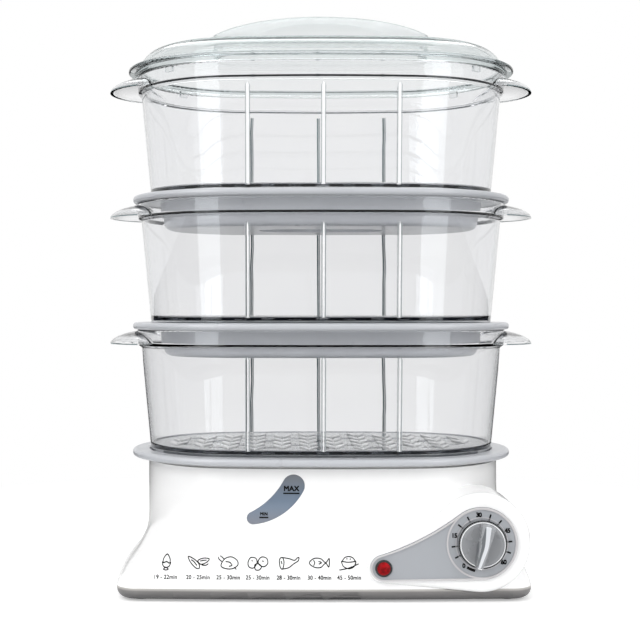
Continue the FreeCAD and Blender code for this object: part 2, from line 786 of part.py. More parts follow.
def teardrop(bigRadius, smallRadius, bay):
    """The panel's outline in X and height: round about the dial, drawn out to the lamp."""
    big = Vector(float(D.dial_x), float(D.dial_height), 0)
    small = Vector(float(D.lamp_x), float(D.lamp_height), 0)
    across = big - small
    tilt = angleOf(across) - math.degrees(math.asin((bigRadius - smallRadius) / across.Length))
    below = tilt - 90
    hollow = meeting(small, bay + smallRadius, big, bay + bigRadius, 1)
    onSmall = angleOf(hollow - small)
    onBig = angleOf(hollow - big)
    downSmall = angleOf(small - hollow)
    downBig = angleOf(big - hollow)
    lineStart = small + Vector(math.cos(math.radians(below)), math.sin(math.radians(below)), 0) * smallRadius
    lineEnd = big + Vector(math.cos(math.radians(below)), math.sin(math.radians(below)), 0) * bigRadius
    edges = [
        Part.makeLine(lineStart, lineEnd),
        arcEdge(big, bigRadius, below, onBig),
        arcEdge(hollow, bay, downBig, downSmall),
        arcEdge(small, smallRadius, onSmall, below + 360),
    ]
    return Part.Face(Part.Wire(edges))


def comma(grow):
    """The level window's outline in X and height."""
    big = Vector(-float(D.window_x), float(D.window_height), 0)
    small = Vector(-float(D.window_tail_x), float(D.window_tail_height), 0)
    bigRadius = float(D.window_radius) + grow
    smallRadius = float(D.window_tail_radius) + grow
    outerBend = float(D.window_outer_bend) + grow
    innerBend = float(D.window_inner_bend) - grow
    outer = meeting(small, outerBend - smallRadius, big, outerBend - bigRadius, 1)
    inner = meeting(small, innerBend + smallRadius, big, innerBend + bigRadius, 1)
    edges = [
        arcEdge(outer, outerBend, angleOf(small - outer), angleOf(big - outer)),
        arcEdge(big, bigRadius, angleOf(big - outer), angleOf(inner - big)),
        arcEdge(inner, innerBend, angleOf(big - inner), angleOf(small - inner)),
        arcEdge(small, smallRadius, angleOf(inner - small), angleOf(small - outer) + 360),
    ]
    return Part.Face(Part.Wire(edges))


def podForm(inset):
    """The pod that carries the panel, with a rounded front edge."""
    face = teardrop(float(D.pod_radius) - inset, float(D.pod_tail_radius) - inset, float(D.panel_bay) + inset)
    front = -float(D.pod_front) + inset
    pod = stood(face, front, -60.0)
    edges = [edge for edge in pod.Edges if all(abs(v.Y - front) < 1e-6 for v in edge.Vertexes)]
    return pod.makeFillet(max(float(D.pod_round) - inset, 0.8), edges)


def cylinder(radius, height, x, y, z, direction=None):
    return Part.makeCylinder(float(radius), float(height), Vector(float(x), float(y), float(z)), direction or up)


bossPlaces = [(sx * float(D.boss_x), sy * float(D.boss_y)) for sx in (-1, 1) for sy in (-1, 1)]
bossPlaces += [(0.0, sy * (float(D.skirt_back) - 8.0)) for sy in (-1, 1)]
footPlaces = [(sx * float(D.foot_x), sy * float(D.foot_y)) for sx in (-1, 1) for sy in (-1, 1)]
facingFront = Vector(0, -1, 0)
coverTop = D.foot_stand + D.cover_floor
bossLow = coverTop + D.stack_gap
bossHigh = bossLow + 14.0


def makeHousing():
    wall = float(D.housing_wall)
    outer = housingLoft(0.0, 0, 0).fuse(podForm(0.0))
    inner = housingLoft(wall, 1.0, 1.0).fuse(podForm(wall))
    housing = outer.cut(inner)
    # the panel's seat, the timer's and the lamp's holes, the window and the cord bush
    sink = stood(teardrop(float(D.panel_radius) + 0.2, float(D.panel_tail_radius) + 0.2, float(D.panel_bay) - 0.2),
                 -float(D.pod_front) - 1, -float(D.pod_front) + float(D.panel_sink))
    frontY = -float(D.pod_front)
    tools = [
        sink,
        cylinder(D.shaft_radius + 2.0, 20, D.dial_x, frontY + 10, D.dial_height, facingFront),
        cylinder(D.lamp_stem + D.window_gap, 20, D.lamp_x, frontY + 10, D.lamp_height, facingFront),
        stood(comma(float(D.window_gap)), -120.0, -60.0),
        cylinder(D.gland_radius - 1.0, 30, D.gland_x, 110, D.gland_height, facingFront),
    ]
    for x in timerEars():
        tools.append(cylinder(D.screw_radius + 0.2, 6, x, frontY + 6, D.dial_height, facingFront))
        tools.append(cylinder(D.screw_head + 0.2, 2, x, frontY + D.panel_sink + 1.0, D.dial_height, facingFront))
    housing = housing.cut(tools)
    # screw bosses, joined to the wall by a fin
    for x, y in bossPlaces:
        boss = cylinder(D.boss_radius, bossHigh - bossLow, x, y, bossLow)
        if x:
            fin = block(-1.0, 0, float(bossLow) + 6, 1.0, 40, float(bossHigh))
            fin.rotate(Vector(), up, -90 if x > 0 else 90)
            fin.translate(Vector(x, y, 0))
            other = block(-1.0, 0, float(bossLow) + 6, 1.0, 30, float(bossHigh))
            if y < 0:
                other.rotate(Vector(), up, 180)
            other.translate(Vector(x, y, 0))
            boss = boss.fuse([fin, other])
        else:
            fin = block(-1.0, 0, float(bossLow) + 6, 1.0, 30, float(bossHigh))
            if y < 0:
                fin.rotate(Vector(), up, 180)
            fin.translate(Vector(x, y, 0))
            boss = boss.fuse(fin)
        housing = housing.fuse(boss.common(outer))
    housing = housing.cut([cylinder(D.screw_radius - 0.1, 12, x, y, bossLow - 1) for x, y in bossPlaces])
    return solidOf(housing), outer, inner


def timerEars():
    return [float(D.dial_x - D.timer_ear), float(D.dial_x + D.timer_ear)]


def makeCover():
    """The grey bottom cover: a shallow tray that closes the base."""
    low, high = float(D.foot_stand), float(D.foot_stand + D.cover_height)
    wide, front, back = float(D.skirt_half_width), float(D.skirt_front), float(D.skirt_back)

    def plan(z, inset):
        return roundedPlan(z, wide - inset, wide - inset, front - inset, back - inset,
                           max(float(D.skirt_corner) - inset, 2.0), float(D.skirt_side_bend),
                           float(D.skirt_front_bend))
    outer = Part.Face(plan(low, 0.0)).extrude(Vector(0, 0, high - low))
    bottom = [edge for edge in outer.Edges if all(abs(v.Z - low) < 1e-6 for v in edge.Vertexes)]
    outer = outer.makeFillet(float(D.cover_round), bottom)
    inner = Part.Face(plan(float(coverTop), 3.0)).extrude(Vector(0, 0, high))
    cover = outer.cut(inner)
    notch = stood(teardrop(float(D.pod_radius) + 0.3, float(D.pod_tail_radius) + 0.3, float(D.panel_bay) - 0.3),
                  -130.0, -60.0)
    cover = cover.cut(notch)
    holes = []
    for x, y in bossPlaces:
        holes.append(cylinder(D.screw_radius + 0.2, 10, x, y, low - 1))
        holes.append(cylinder(D.screw_head + 0.2, 1.0, x, y, low - 0.3))
    for x, y in footPlaces:
        holes.append(cylinder(D.foot_radius + 0.1, 1.2, x, y, low - 0.2))
        holes.append(cylinder(1.8, 10, x, y, low - 1))
    setShape("bottom_cover", solidOf(cover.cut(holes)))


def makeFeet():
    feet = []
    for x, y in footPlaces:
        pad = cylinder(D.foot_radius, D.foot_stand + 1.0, x, y, 0)
        pad = pad.makeFillet(0.6, [edge for edge in pad.Edges if abs(edge.CenterOfMass.z) < 1e-6])
        feet.append(pad.fuse([cylinder(1.7, coverTop - D.foot_stand + 0.2, x, y, D.foot_stand),
                              cylinder(2.6, 1.2, x, y, coverTop + 0.1)]))
    setShape("feet", Part.makeCompound([solidOf(foot) for foot in feet]))


def makeHousingScrews():
    screws = []
    for x, y in bossPlaces:
        head = cylinder(D.screw_head, D.screw_head_height, x, y, float(D.foot_stand) + 0.7 - float(D.screw_head_height))
        shank = cylinder(D.screw_radius - 0.15, 11.0, x, y, float(D.foot_stand) + 0.5)
        screws.append(solidOf(head.fuse(shank)))
    setShape("housing_screws", Part.makeCompound(screws))


# Heights of the heater, hung under the tank's floor

tankUnder = D.tank_floor - D.tank_wall
flangeTop = tankUnder - D.seal_thick - 0.05
heaterLow = flangeTop - 2.0
clampHigh = heaterLow - 0.1


# Water tank

def makeTank():
    top = float(D.housing_top)
    floor = float(D.tank_floor)
    wall = float(D.tank_wall)
    wide = float(D.tank_half_width)
    low = float(D.tank_low_half_width)
    hub = low - 20.0
    flangeOut = float(D.column_left) - 0.4
    under = floor - wall
    ring = ovalRing([
        (wide, top + 0.1, 0.0),
        (flangeOut, top + 0.1, 0.3),
        (flangeOut, top + float(D.tank_flange), 0.5),
        (wide - wall, top + float(D.tank_flange), 0.6),
        (wide - wall, top - 14.0, 3.0),
        (low - wall, floor, 6.0),
        (hub, floor),
        (hub, under),
        (low + 0.3, under, 8.0),
        (wide, top - 14.0 - 0.6, 3.0),
    ])
    tank = ring.fuse(ovalDisc(hub, under, floor))
    # sight hole behind the level window, and the opening for the heating plate
    frame = stood(comma(2.2), -frontOf(wide, 20.0) - 2.5, -frontOf(wide, 20.0) + 9.0)
    frame = frame.cut(ovalDisc(wide - wall - 0.01, floor - 5, top + 5))
    tank = tank.fuse([solid for solid in frame.Solids])
    tank = tank.cut([
        stood(comma(float(D.window_gap)), -100.0, -40.0),
        cylinder(D.heater_radius + 0.6, 10, D.heater_x, 0, under - 2),
    ])
    for index in range(4):
        angle = math.radians(45 + 90 * index)
        reach = clampScrewRadius()
        x, y = float(D.heater_x) + reach * math.cos(angle), reach * math.sin(angle)
        post = cylinder(3.4, under - clampHigh, x, y, clampHigh)
        post = post.cut(cylinder(D.screw_radius - 0.1, under - clampHigh, x, y, clampHigh))
        tank = tank.fuse(post)
    setShape("water_tank", solidOf(tank))


def clampScrewRadius():
    return float(D.heater_flange) + 5.0


# Control panel and lamp: X and height as seen from the front, drawn on the pod's front face

panelFront = D.panel_thick - D.panel_sink  # plate's front, before the pod's front


def panelFace(inset):
    return teardrop(float(D.panel_radius) - inset, float(D.panel_tail_radius) - inset, float(D.panel_bay) + inset)


def makePanel():
    front = -float(D.pod_front)
    plate = stood(panelFace(0.0), front - float(panelFront), front + float(D.panel_sink))
    rimFront = front - float(panelFront + D.panel_rim_height)
    rim = stood(panelFace(0.0), rimFront, front)
    rim = rim.cut(stood(panelFace(float(D.panel_rim)), rimFront - 1, front + 1))
    dialRing = cylinder(D.knob_radius + 1.6, D.panel_rim_height * 0.5, D.dial_x, front - float(panelFront),
                        D.dial_height, facingFront)
    dialRing = dialRing.cut(cylinder(D.knob_radius + 0.8, 4, D.dial_x, front, D.dial_height, facingFront))
    # the ridge that closes the dial off from the tail
    reach = float(D.panel_radius) - 0.5
    ridgeStart = front - float(panelFront)
    ridge = cylinder(reach, D.panel_rim_height * 0.8, D.dial_x, ridgeStart, D.dial_height, facingFront)
    ridge = ridge.cut(cylinder(reach - float(D.panel_rim), 4, D.dial_x, front, D.dial_height, facingFront))
    panel = plate.fuse([rim, dialRing, ridge]).cut([
        cylinder(D.shaft_radius + 1.0, 20, D.dial_x, front + 10, D.dial_height, facingFront),
        cylinder(D.lamp_stem + D.window_gap, 20, D.lamp_x, front + 10, D.lamp_height, facingFront),
    ])
    setShape("control_panel", solidOf(panel))


def atDial(body, ahead):
    """Stand a turned body on the dial's axis, its own zero that far in front of the pod."""
    place(body, D.dial_x, -(D.pod_front + ahead), D.dial_height, facing)


def atLamp(body, ahead):
    place(body, D.lamp_x, -(D.pod_front + ahead), D.lamp_height, facing)


def makeKnob():
    knob = newBody("timer_knob")
    skirt = D.knob_skirt
    revolve(knob, "KnobDisc", [
        (0, 0), (D.knob_radius, 0), (D.knob_radius, skirt - 1.0), (D.knob_radius - 1.0, skirt),
        (D.knob_radius - 4.0, skirt + 0.6), (0, skirt + 0.6),
    ])
    doc.recompute()
    blade = newSketch(knob, "KnobBlade", "XY_Plane", skirt - 0.5)
    reach = D.knob_radius - 0.6
    drawPolygon(blade, [(-2.2, -reach), (2.2, -reach), (3.6, 0), (5.0, reach - 2.0), (-5.0, reach - 2.0), (-3.6, 0)])
    feature(knob, "Pad", "Blade", blade, D.knob_blade)
    doc.recompute()
    bore = newSketch(knob, "KnobBore", "XY_Plane", 0)
    drawCircle(bore, 0, 0, D.shaft_radius + 0.02)
    feature(knob, "Pocket", "Bore", bore, skirt + D.knob_blade * 0.5, True)
    doc.recompute()
    base = knob.Tip
    high = float(skirt + D.knob_blade) - 0.5
    edges = ["Edge%d" % (i + 1) for i, edge in enumerate(base.Shape.Edges)
             if all(abs(v.Z - high) < 0.01 for v in edge.Vertexes) and edge.Length > 2]
    top = knob.newObject("PartDesign::Fillet", "BladeTop")
    top.Base = (base, edges)
    top.Radius = 1.2
    doc.recompute()
    turn = Rotation(Vector(1, 0, 0), 90).multiply(Rotation(Vector(0, 0, 1), -float(D.knob_turn)))
    place(knob, D.dial_x, -(D.pod_front + panelFront + D.knob_gap), D.dial_height, turn)


def makeShaft():
    shaft = newBody("timer_shaft")
    sketch = newSketch(shaft, "ShaftRound")
    drawCircle(sketch, 0, 0, D.shaft_radius)
    length = D.housing_wall + panelFront + D.knob_gap + D.knob_skirt + D.knob_blade * 0.5 + 9.0
    feature(shaft, "Pad", "ShaftLength", sketch, length)
    place(shaft, D.dial_x, -(D.pod_front - D.housing_wall - 10.0), D.dial_height, facing)


def makeTimerCase():
    case = newBody("timer_case")
    high = -0.1
    low = -(D.timer_depth)
    bore = D.shaft_radius + D.shaft_gap
    revolve(case, "CaseDrum", [
        (bore, high), (D.timer_radius, high), (D.timer_radius, low + 1.5), (D.timer_radius - 1.5, low),
        (4.0, low), (4.0, low - 2.0), (0, low - 2.0), (0, -11.5), (bore, -11.5),
    ])
    doc.recompute()
    tabs = newSketch(case, "CaseTabs", "XY_Plane", low - 5.0)
    for x in (-6.0, 6.0):
        drawBox(tabs, x - 2.4, -19.5, x + 2.4, -18.3)
    feature(case, "Pad", "Tabs", tabs, 6.0)
    doc.recompute()
    holes = newSketch(case, "CaseScrewHoles", "XY_Plane", 0)
    for x in (-D.timer_ear, D.timer_ear):
        drawCircle(holes, x, 0, D.screw_radius - 0.1)
    feature(case, "Pocket", "ScrewHoles", holes, 10.0)
    place(case, D.dial_x, -(D.pod_front - D.housing_wall), D.dial_height, facing)


def makeBell():
    bell = newBody("timer_bell")
    wall = D.bell_wall
    high = -(D.timer_depth + 2.1)
    low = high - D.bell_depth
    revolve(bell, "BellCup", [
        (0, high), (4.0, high), (D.bell_radius - 3.0, high - 0.6), (D.bell_radius, high - 3.0),
        (D.bell_radius, low), (D.bell_radius - wall, low), (D.bell_radius - wall, high - 3.4),
        (D.bell_radius - 3.4, high - 0.6 - wall), (3.0, high - wall), (3.0, low + 2.0), (0, low + 2.0),
    ])
    place(bell, D.dial_x, -(D.pod_front - D.housing_wall), D.dial_height, facing)


def makeTimerScrews():
    screws = []
    front = -float(D.pod_front) + float(D.panel_sink)
    for x in timerEars():
        head = cylinder(D.screw_head, 0.9, x, front + 0.95, D.dial_height, facingFront)
        shank = cylinder(D.screw_radius - 0.15, 10.0, x, front + 10.5, D.dial_height, facingFront)
        screws.append(solidOf(head.fuse(shank)))
    setShape("timer_screws", Part.makeCompound(screws))


def makeLamp():
    bezel = newBody("lamp_bezel")
    revolve(bezel, "BezelRing", [
        (D.lamp_stem + 0.2, 0), (D.lamp_radius, 0), (D.lamp_radius, 0.8), (D.lamp_radius - 0.5, 1.3),
        (D.lamp_stem + 0.2, 1.3),
    ])
    atLamp(bezel, panelFront)
    lens = newBody("lamp_lens")
    revolve(lens, "LensDome", [
        (0, -12.0), (D.lamp_stem, -12.0), (D.lamp_stem, 1.4), (D.lamp_stem + 0.4, 1.4), (D.lamp_stem + 0.4, 1.9),
        (D.lamp_stem - 0.6, 2.9), (D.lamp_stem - 2.2, 3.5), (0, 3.7),
    ])
    atLamp(lens, panelFront)
    holder = newBody("lamp_holder")
    revolve(holder, "HolderDrum", [
        (0, -22.0), (5.2, -22.0), (5.2, -12.1), (0, -12.1),
    ])
    atLamp(holder, panelFront)


# Level window and its seal

def makeWindow(outer, inner):
    reach = -frontOf(float(D.tank_half_width - D.tank_wall), 20.0)
    window = stood(comma(0.0), -120.0, reach).common(outer)
    setShape("level_window", solidOf(window))
    tankFace = -frontOf(float(D.tank_half_width), 20.0) - 2.5
    ring = stood(comma(1.6), -120.0, tankFace - 0.05).common(inner)
    ring = ring.cut(stood(comma(0.05), -130.0, -60.0))
    setShape("level_seal", solidOf(ring))


# Heater, under the tank

def ringBody(name, inner, outer, low, high):
    """A flat ring about the heater's axis."""
    body = newBody(name)
    sketch = newSketch(body, name + "Plan", "XY_Plane", low)
    drawCircle(sketch, 0, 0, outer)
    if float(inner) > 0:
        drawCircle(sketch, 0, 0, inner)
    feature(body, "Pad", name + "Pad", sketch, high - low)
    place(body, D.heater_x, 0.0, 0.0)
    return body


def makeHeater():
    plate = newBody("heater_plate")
    revolve(plate, "PlateTurned", [
        (0, heaterLow), (D.heater_flange, heaterLow), (D.heater_flange, flangeTop), (D.heater_radius, flangeTop),
        (D.heater_radius, D.tank_floor + 1.0), (D.heater_radius - 1.0, D.tank_floor + 2.0), (0, D.tank_floor + 2.0),
    ])
    place(plate, D.heater_x, 0.0, 0.0)
    ringBody("heater_seal", D.heater_radius + 0.7, D.heater_flange, flangeTop + 0.02, tankUnder)
    clampLow = clampHigh - D.clamp_thick
    clamp = ringBody("heater_clamp", D.heater_radius + 2.0, D.heater_flange + 9.0, clampLow, clampHigh)
    doc.recompute()
    hole = newSketch(clamp, "ClampHole", "XY_Plane", clampHigh)
    reach = (D.heater_flange + 5.0) * 0.70710678
    drawCircle(hole, reach, reach, D.screw_radius + 0.2)
    pocket = feature(clamp, "Pocket", "ClampHoleCut", hole, D.clamp_thick + 1.0)
    doc.recompute()
    ring = clamp.newObject("PartDesign::PolarPattern", "ClampHoles")
    ring.Originals = [pocket]
    ring.Axis = (hole, ["N_Axis"])
    ring.Angle = 360
    ring.Occurrences = 4
    clamp.Tip = ring
    screws = []
    low = float(clampHigh - D.clamp_thick)
    for index in range(4):
        angle = math.radians(45 + 90 * index)
        x = float(D.heater_x) + clampScrewRadius() * math.cos(angle)
        y = clampScrewRadius() * math.sin(angle)
        head = cylinder(D.screw_head, D.screw_head_height, x, y, low - float(D.screw_head_height) - 0.02)
        shank = cylinder(D.screw_radius - 0.15, 5.4, x, y, low - 0.5)
        screws.append(solidOf(head.fuse(shank)))
    setShape("clamp_screws", Part.makeCompound(screws))
    makeElement()
    thermostat = newBody("thermostat")
    low = heaterLow - 0.05 - D.thermostat_height
    revolve(thermostat, "ThermostatTurned", [
        (0, low), (D.thermostat_radius - 2.0, low), (D.thermostat_radius - 2.0, low + 2.0),
        (D.thermostat_radius, low + 2.0), (D.thermostat_radius, heaterLow - 0.05), (0, heaterLow - 0.05),
    ])
    place(thermostat, D.heater_x, 0.0, 0.0)
    fuse = node("thermal_fuse", doc.addObject("Part::Cylinder", "ThermalFuse"))
    bind(fuse, "Radius", D.fuse_radius)
    bind(fuse, "Height", D.fuse_length)
    place(fuse, D.heater_x - D.fuse_length / 2, -(D.thermostat_radius + D.fuse_radius + 1.5),
          heaterLow - D.fuse_radius - 0.02, Rotation(Vector(0, 1, 0), 90))


def makeElement():
    """A sheathed ring, open at the back, with a pin at each end."""
    gap = 25.0
    ring = doc.addObject("Part::Torus", "ElementRing")
    bind(ring, "Radius1", D.element_radius)
    bind(ring, "Radius2", D.element_tube)
    ring.Angle3 = 360 - 2 * gap
    level = heaterLow - D.element_tube - 0.02
    place(ring, D.heater_x, 0.0, level, Rotation(up, 90 + gap))
    pins = []
    for side in (-1, 1):
        pinItem = doc.addObject("Part::Cylinder", "ElementPin")
        pinItem.Radius = 1.6
        pinItem.Height = 8.0
        angle = math.radians(gap)
        place(pinItem, D.heater_x + D.element_radius * (side * math.sin(angle)),
              D.element_radius * math.cos(angle), level - 8.0)
        pins.append(pinItem)
    joined = doc.addObject("Part::MultiFuse", "Element")
    joined.Shapes = [ring] + pins
    node("heater_element", joined)


def pinPlace(side):
    angle = math.radians(25.0)
    level = float(heaterLow - D.element_tube) - 0.02 - 8.0
    return Vector(float(D.heater_x) + float(D.element_radius) * side * math.sin(angle),
                  float(D.element_radius) * math.cos(angle), level)


def makeSteamRing():
    """A sleeve round the heating plate, so that a little water boils at once."""
    ring = newBody("steam_ring")
    low = D.tank_floor + D.stack_gap
    high = low + D.steam_ring_height
    outer = D.steam_ring_radius
    revolve(ring, "SleeveTurned", [
        (outer - 2.0, low), (outer, low), (outer - 4.0, high), (outer - 6.0, high),
    ])
    doc.recompute()
    notch = newSketch(ring, "SleeveNotch", "XZ_Plane")
    drawBox(notch, -5.0, low - 1.0, 5.0, low + 5.0)
    pocket = feature(ring, "Pocket", "NotchCut", notch, outer + 2.0)
    doc.recompute()
    row = ring.newObject("PartDesign::PolarPattern", "Notches")
    row.Originals = [pocket]
    row.Axis = (newSketchAxis(ring), ["N_Axis"])
    row.Angle = 360
    row.Occurrences = 6
    ring.Tip = row
    place(ring, D.heater_x, 0.0, 0.0)


def newSketchAxis(body):
    sketch = newSketch(body, body.Label + "Axis")
    drawCircle(sketch, 0, 0, 1.0)
    return sketch


# Electrical fittings

def makeBlock():
    terminal = newBody("terminal_block")
    plan = newSketch(terminal, "BlockPlan", "XY_Plane", coverTop + 0.02)
    halfX, halfY = D.terminal_length / 2, D.terminal_depth / 2
    drawBox(plan, -halfX, -halfY, halfX, halfY)
    feature(terminal, "Pad", "BlockPad", plan, D.terminal_height)
    doc.recompute()
    wells = newSketch(terminal, "BlockWells", "XY_Plane", coverTop + D.terminal_height)
    for x in (-9.0, 0, 9.0):
        drawCircle(wells, x, 0, 2.0)
    feature(terminal, "Pocket", "Wells", wells, 6.0)
    place(terminal, D.terminal_x, D.terminal_y, 0.0)


def lead(name, points, bend):
    """An insulated lead: straight runs joined by arcs."""
    path = wireOf([(point, bend) for point in points], closed=False)
    start = (points[1] - points[0]).normalize()
    ring = Part.Wire(Part.makeCircle(float(D.wire_radius), points[0], start))
    tube = path.makePipeShell([ring], True, False)
    print(name, "length", round(path.Length, 1), "volume share", round(
        tube.Volume / (math.pi * float(D.wire_radius) ** 2 * path.Length), 4))
    setShape(name, tube)


def makeLeads():
    face = float(D.terminal_y - D.terminal_depth / 2)
    x = float(D.terminal_x)
    tabY = -float(D.pod_front - D.housing_wall - D.timer_depth) + 5.05
    tabHeight = float(D.dial_height) - 18.9
    pinRight, pinLeft = pinPlace(1), pinPlace(-1)
    run = float(coverTop)
    lead("lead_heater", [
        Vector(x, face - 0.05, run + 9.0), Vector(x, 42, run + 9.0),
        Vector(pinRight.x, pinRight.y + 10, run + 3.5), Vector(pinRight.x, pinRight.y, run + 3.5),
        Vector(pinRight.x, pinRight.y, pinRight.z - 0.05)], 3.5)
    tabLeft, tabRight = float(D.dial_x) - 6.0, float(D.dial_x) + 6.0
    lead("lead_timer", [
        Vector(tabLeft, tabY, tabHeight), Vector(tabLeft, tabY + 12, tabHeight),
        Vector(tabLeft - 20, tabY + 30, run + 4.0),
        Vector(pinLeft.x, -12, run + 3.0), Vector(pinLeft.x, pinLeft.y, run + 3.0),
        Vector(pinLeft.x, pinLeft.y, pinLeft.z - 0.05)], 3.5)
    lead("lead_live", [
        Vector(tabRight, tabY, tabHeight), Vector(tabRight, tabY + 14, tabHeight),
        Vector(tabRight - 3, tabY + 32, run + 8.0),
        Vector(x + 9, 30, run + 8.0), Vector(x + 9, face - 0.05, run + 8.0)], 6.0)
    holderBack = -float(D.pod_front + panelFront) + 22.05
    lead("lead_lamp", [
        Vector(float(D.lamp_x), holderBack, float(D.lamp_height)),
        Vector(float(D.lamp_x), holderBack + 12, float(D.lamp_height)),
        Vector(float(D.lamp_x) + 2, holderBack + 30, run + 10.0), Vector(x - 9, 10, run + 11.0),
        Vector(x - 9, face - 0.05, run + 11.0)], 6.0)


def makeGland(housing):
    """The rear bush that the supply cord would pass through."""
    spool = cylinder(D.gland_radius + 1.5, 12.0, D.gland_x, 98.0, D.gland_height, facingFront)
    spool = spool.cut(housing)
    spool = spool.cut(cylinder(D.gland_bore, 30.0, D.gland_x, 110.0, D.gland_height, facingFront))
    setShape("cord_bush", solidOf(spool))


# The run of the build

housingShape, housingOuter, housingInner = makeHousing()
setShape("base_housing", housingShape)
makeCover()
makeFeet()
makeHousingScrews()
makeTank()
makeWindow(housingOuter, housingInner)
makePanel()
makeKnob()
makeShaft()
makeTimerCase()
makeBell()
makeTimerScrews()
makeLamp()
makeHeater()
makeSteamRing()
makeBlock()
makeLeads()
makeGland(housingShape)
trayShape = makeDripTray()
basketShape = makeBasket()
for number in (1, 2, 3):
    level = D.tray_level + D.tier_pitch * (number - 1)
    setShape("drip_tray_%d" % number, trayShape.copy(), level)
    setShape("basket_%d" % number, basketShape.copy(), level)
makeLid()
doc.recompute()

# Nothing is written unless every piece is sound

faults = []
for item in doc.Objects:
    if "Invalid" in item.State or "Error" in item.State:
        faults.append("%s: %s" % (item.Name, item.State))
for name, item in nodes.items():
    shape = item.Shape
    if shape.isNull() or not shape.isValid() or not shape.Solids:
        faults.append("%s has no sound solid" % name)
if faults:
    raise RuntimeError("; ".join(faults))
os.makedirs("parts", exist_ok=True)
for name, item in nodes.items():
    item.Shape.exportStep("parts/%s.step" % name)
    box = item.Shape.BoundBox
    print("%-16s %2d solids, volume %8.0f, x %7.1f %7.1f  y %7.1f %7.1f  z %6.1f %6.1f" % (
        name, len(item.Shape.Solids), item.Shape.Volume, box.XMin, box.XMax, box.YMin, box.YMax, box.ZMin, box.ZMax))
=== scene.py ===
import math

import bmesh
import bpy
from mathutils import Matrix, Vector
from mathutils.bvhtree import BVHTree


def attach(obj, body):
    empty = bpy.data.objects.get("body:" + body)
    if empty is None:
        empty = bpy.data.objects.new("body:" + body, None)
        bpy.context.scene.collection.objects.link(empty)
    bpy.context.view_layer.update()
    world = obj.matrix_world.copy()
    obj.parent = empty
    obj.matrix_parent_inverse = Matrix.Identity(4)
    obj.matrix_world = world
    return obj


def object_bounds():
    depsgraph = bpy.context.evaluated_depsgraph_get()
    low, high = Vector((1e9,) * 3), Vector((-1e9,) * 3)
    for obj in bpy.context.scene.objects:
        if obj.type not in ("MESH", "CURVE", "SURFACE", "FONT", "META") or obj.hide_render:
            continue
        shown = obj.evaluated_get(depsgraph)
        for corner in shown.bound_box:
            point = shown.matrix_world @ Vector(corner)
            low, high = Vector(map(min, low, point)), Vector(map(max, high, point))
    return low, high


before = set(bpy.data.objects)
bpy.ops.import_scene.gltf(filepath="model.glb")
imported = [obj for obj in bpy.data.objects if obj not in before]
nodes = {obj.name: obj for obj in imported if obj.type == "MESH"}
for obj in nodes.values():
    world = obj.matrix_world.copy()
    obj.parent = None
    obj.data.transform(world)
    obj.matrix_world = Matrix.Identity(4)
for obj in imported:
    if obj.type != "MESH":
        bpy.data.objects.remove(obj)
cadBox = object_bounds()
scene = bpy.context.scene
mm = 0.001
print("frame loaded:", len(nodes), "nodes")


# Finishes

def newTree(name):
    material = bpy.data.materials.new(name)
    material.use_nodes = True
    tree = material.node_tree
    shader = tree.nodes["Principled BSDF"]
    return material, tree, shader


def joined(tree, source, target):
    tree.links.new(source, target)


def noiseAt(tree, size, detail=3.0, stretch=(1, 1, 1)):
    # cloudy noise whose blotches are about this size in metres
    where = tree.nodes.new("ShaderNodeTexCoord")
    scaled = tree.nodes.new("ShaderNodeMapping")
    scaled.inputs["Scale"].default_value = stretch
    noise = tree.nodes.new("ShaderNodeTexNoise")
    noise.inputs["Scale"].default_value = 1.0 / size
    noise.inputs["Detail"].default_value = detail
    joined(tree, where.outputs["Object"], scaled.inputs["Vector"])
    joined(tree, scaled.outputs["Vector"], noise.inputs["Vector"])
    return noise.outputs["Fac"]


def spread(tree, value, low, high):
    span = tree.nodes.new("ShaderNodeMapRange")
    span.inputs["From Min"].default_value = 0.3
    span.inputs["From Max"].default_value = 0.7
    span.inputs["To Min"].default_value = low
    span.inputs["To Max"].default_value = high
    joined(tree, value, span.inputs["Value"])
    return span.outputs["Result"]


def mixed(tree, value, first, second):
    blend = tree.nodes.new("ShaderNodeMix")
    blend.data_type = "RGBA"
    blend.inputs["A"].default_value = (*first, 1)
    blend.inputs["B"].default_value = (*second, 1)
    joined(tree, value, blend.inputs["Factor"])
    return blend.outputs["Result"]


def bumped(tree, shader, height, depth):
    bump = tree.nodes.new("ShaderNodeBump")
    bump.inputs["Distance"].default_value = depth
    bump.inputs["Strength"].default_value = 1.0
    joined(tree, height, bump.inputs["Height"])
    joined(tree, bump.outputs["Normal"], shader.inputs["Normal"])


def along(tree, axis, low, high):
    # 0 to 1 between two places along one axis of the piece
    where = tree.nodes.new("ShaderNodeTexCoord")
    apart = tree.nodes.new("ShaderNodeSeparateXYZ")
    span = tree.nodes.new("ShaderNodeMapRange")
    span.inputs["From Min"].default_value = low
    span.inputs["From Max"].default_value = high
    joined(tree, where.outputs["Object"], apart.inputs[0])
    joined(tree, apart.outputs[axis], span.inputs["Value"])
    return span.outputs["Result"]


def banded(tree, axis, low, high, stops):
    ramp = tree.nodes.new("ShaderNodeValToRGB")
    edges = ramp.color_ramp.elements
    while len(edges) < len(stops):
        edges.new(0.5)
    for edge, (place, colour) in zip(edges, stops):
        edge.position = place
        edge.color = (*colour, 1)
    joined(tree, along(tree, axis, low, high), ramp.inputs["Fac"])
    return ramp.outputs["Color"]


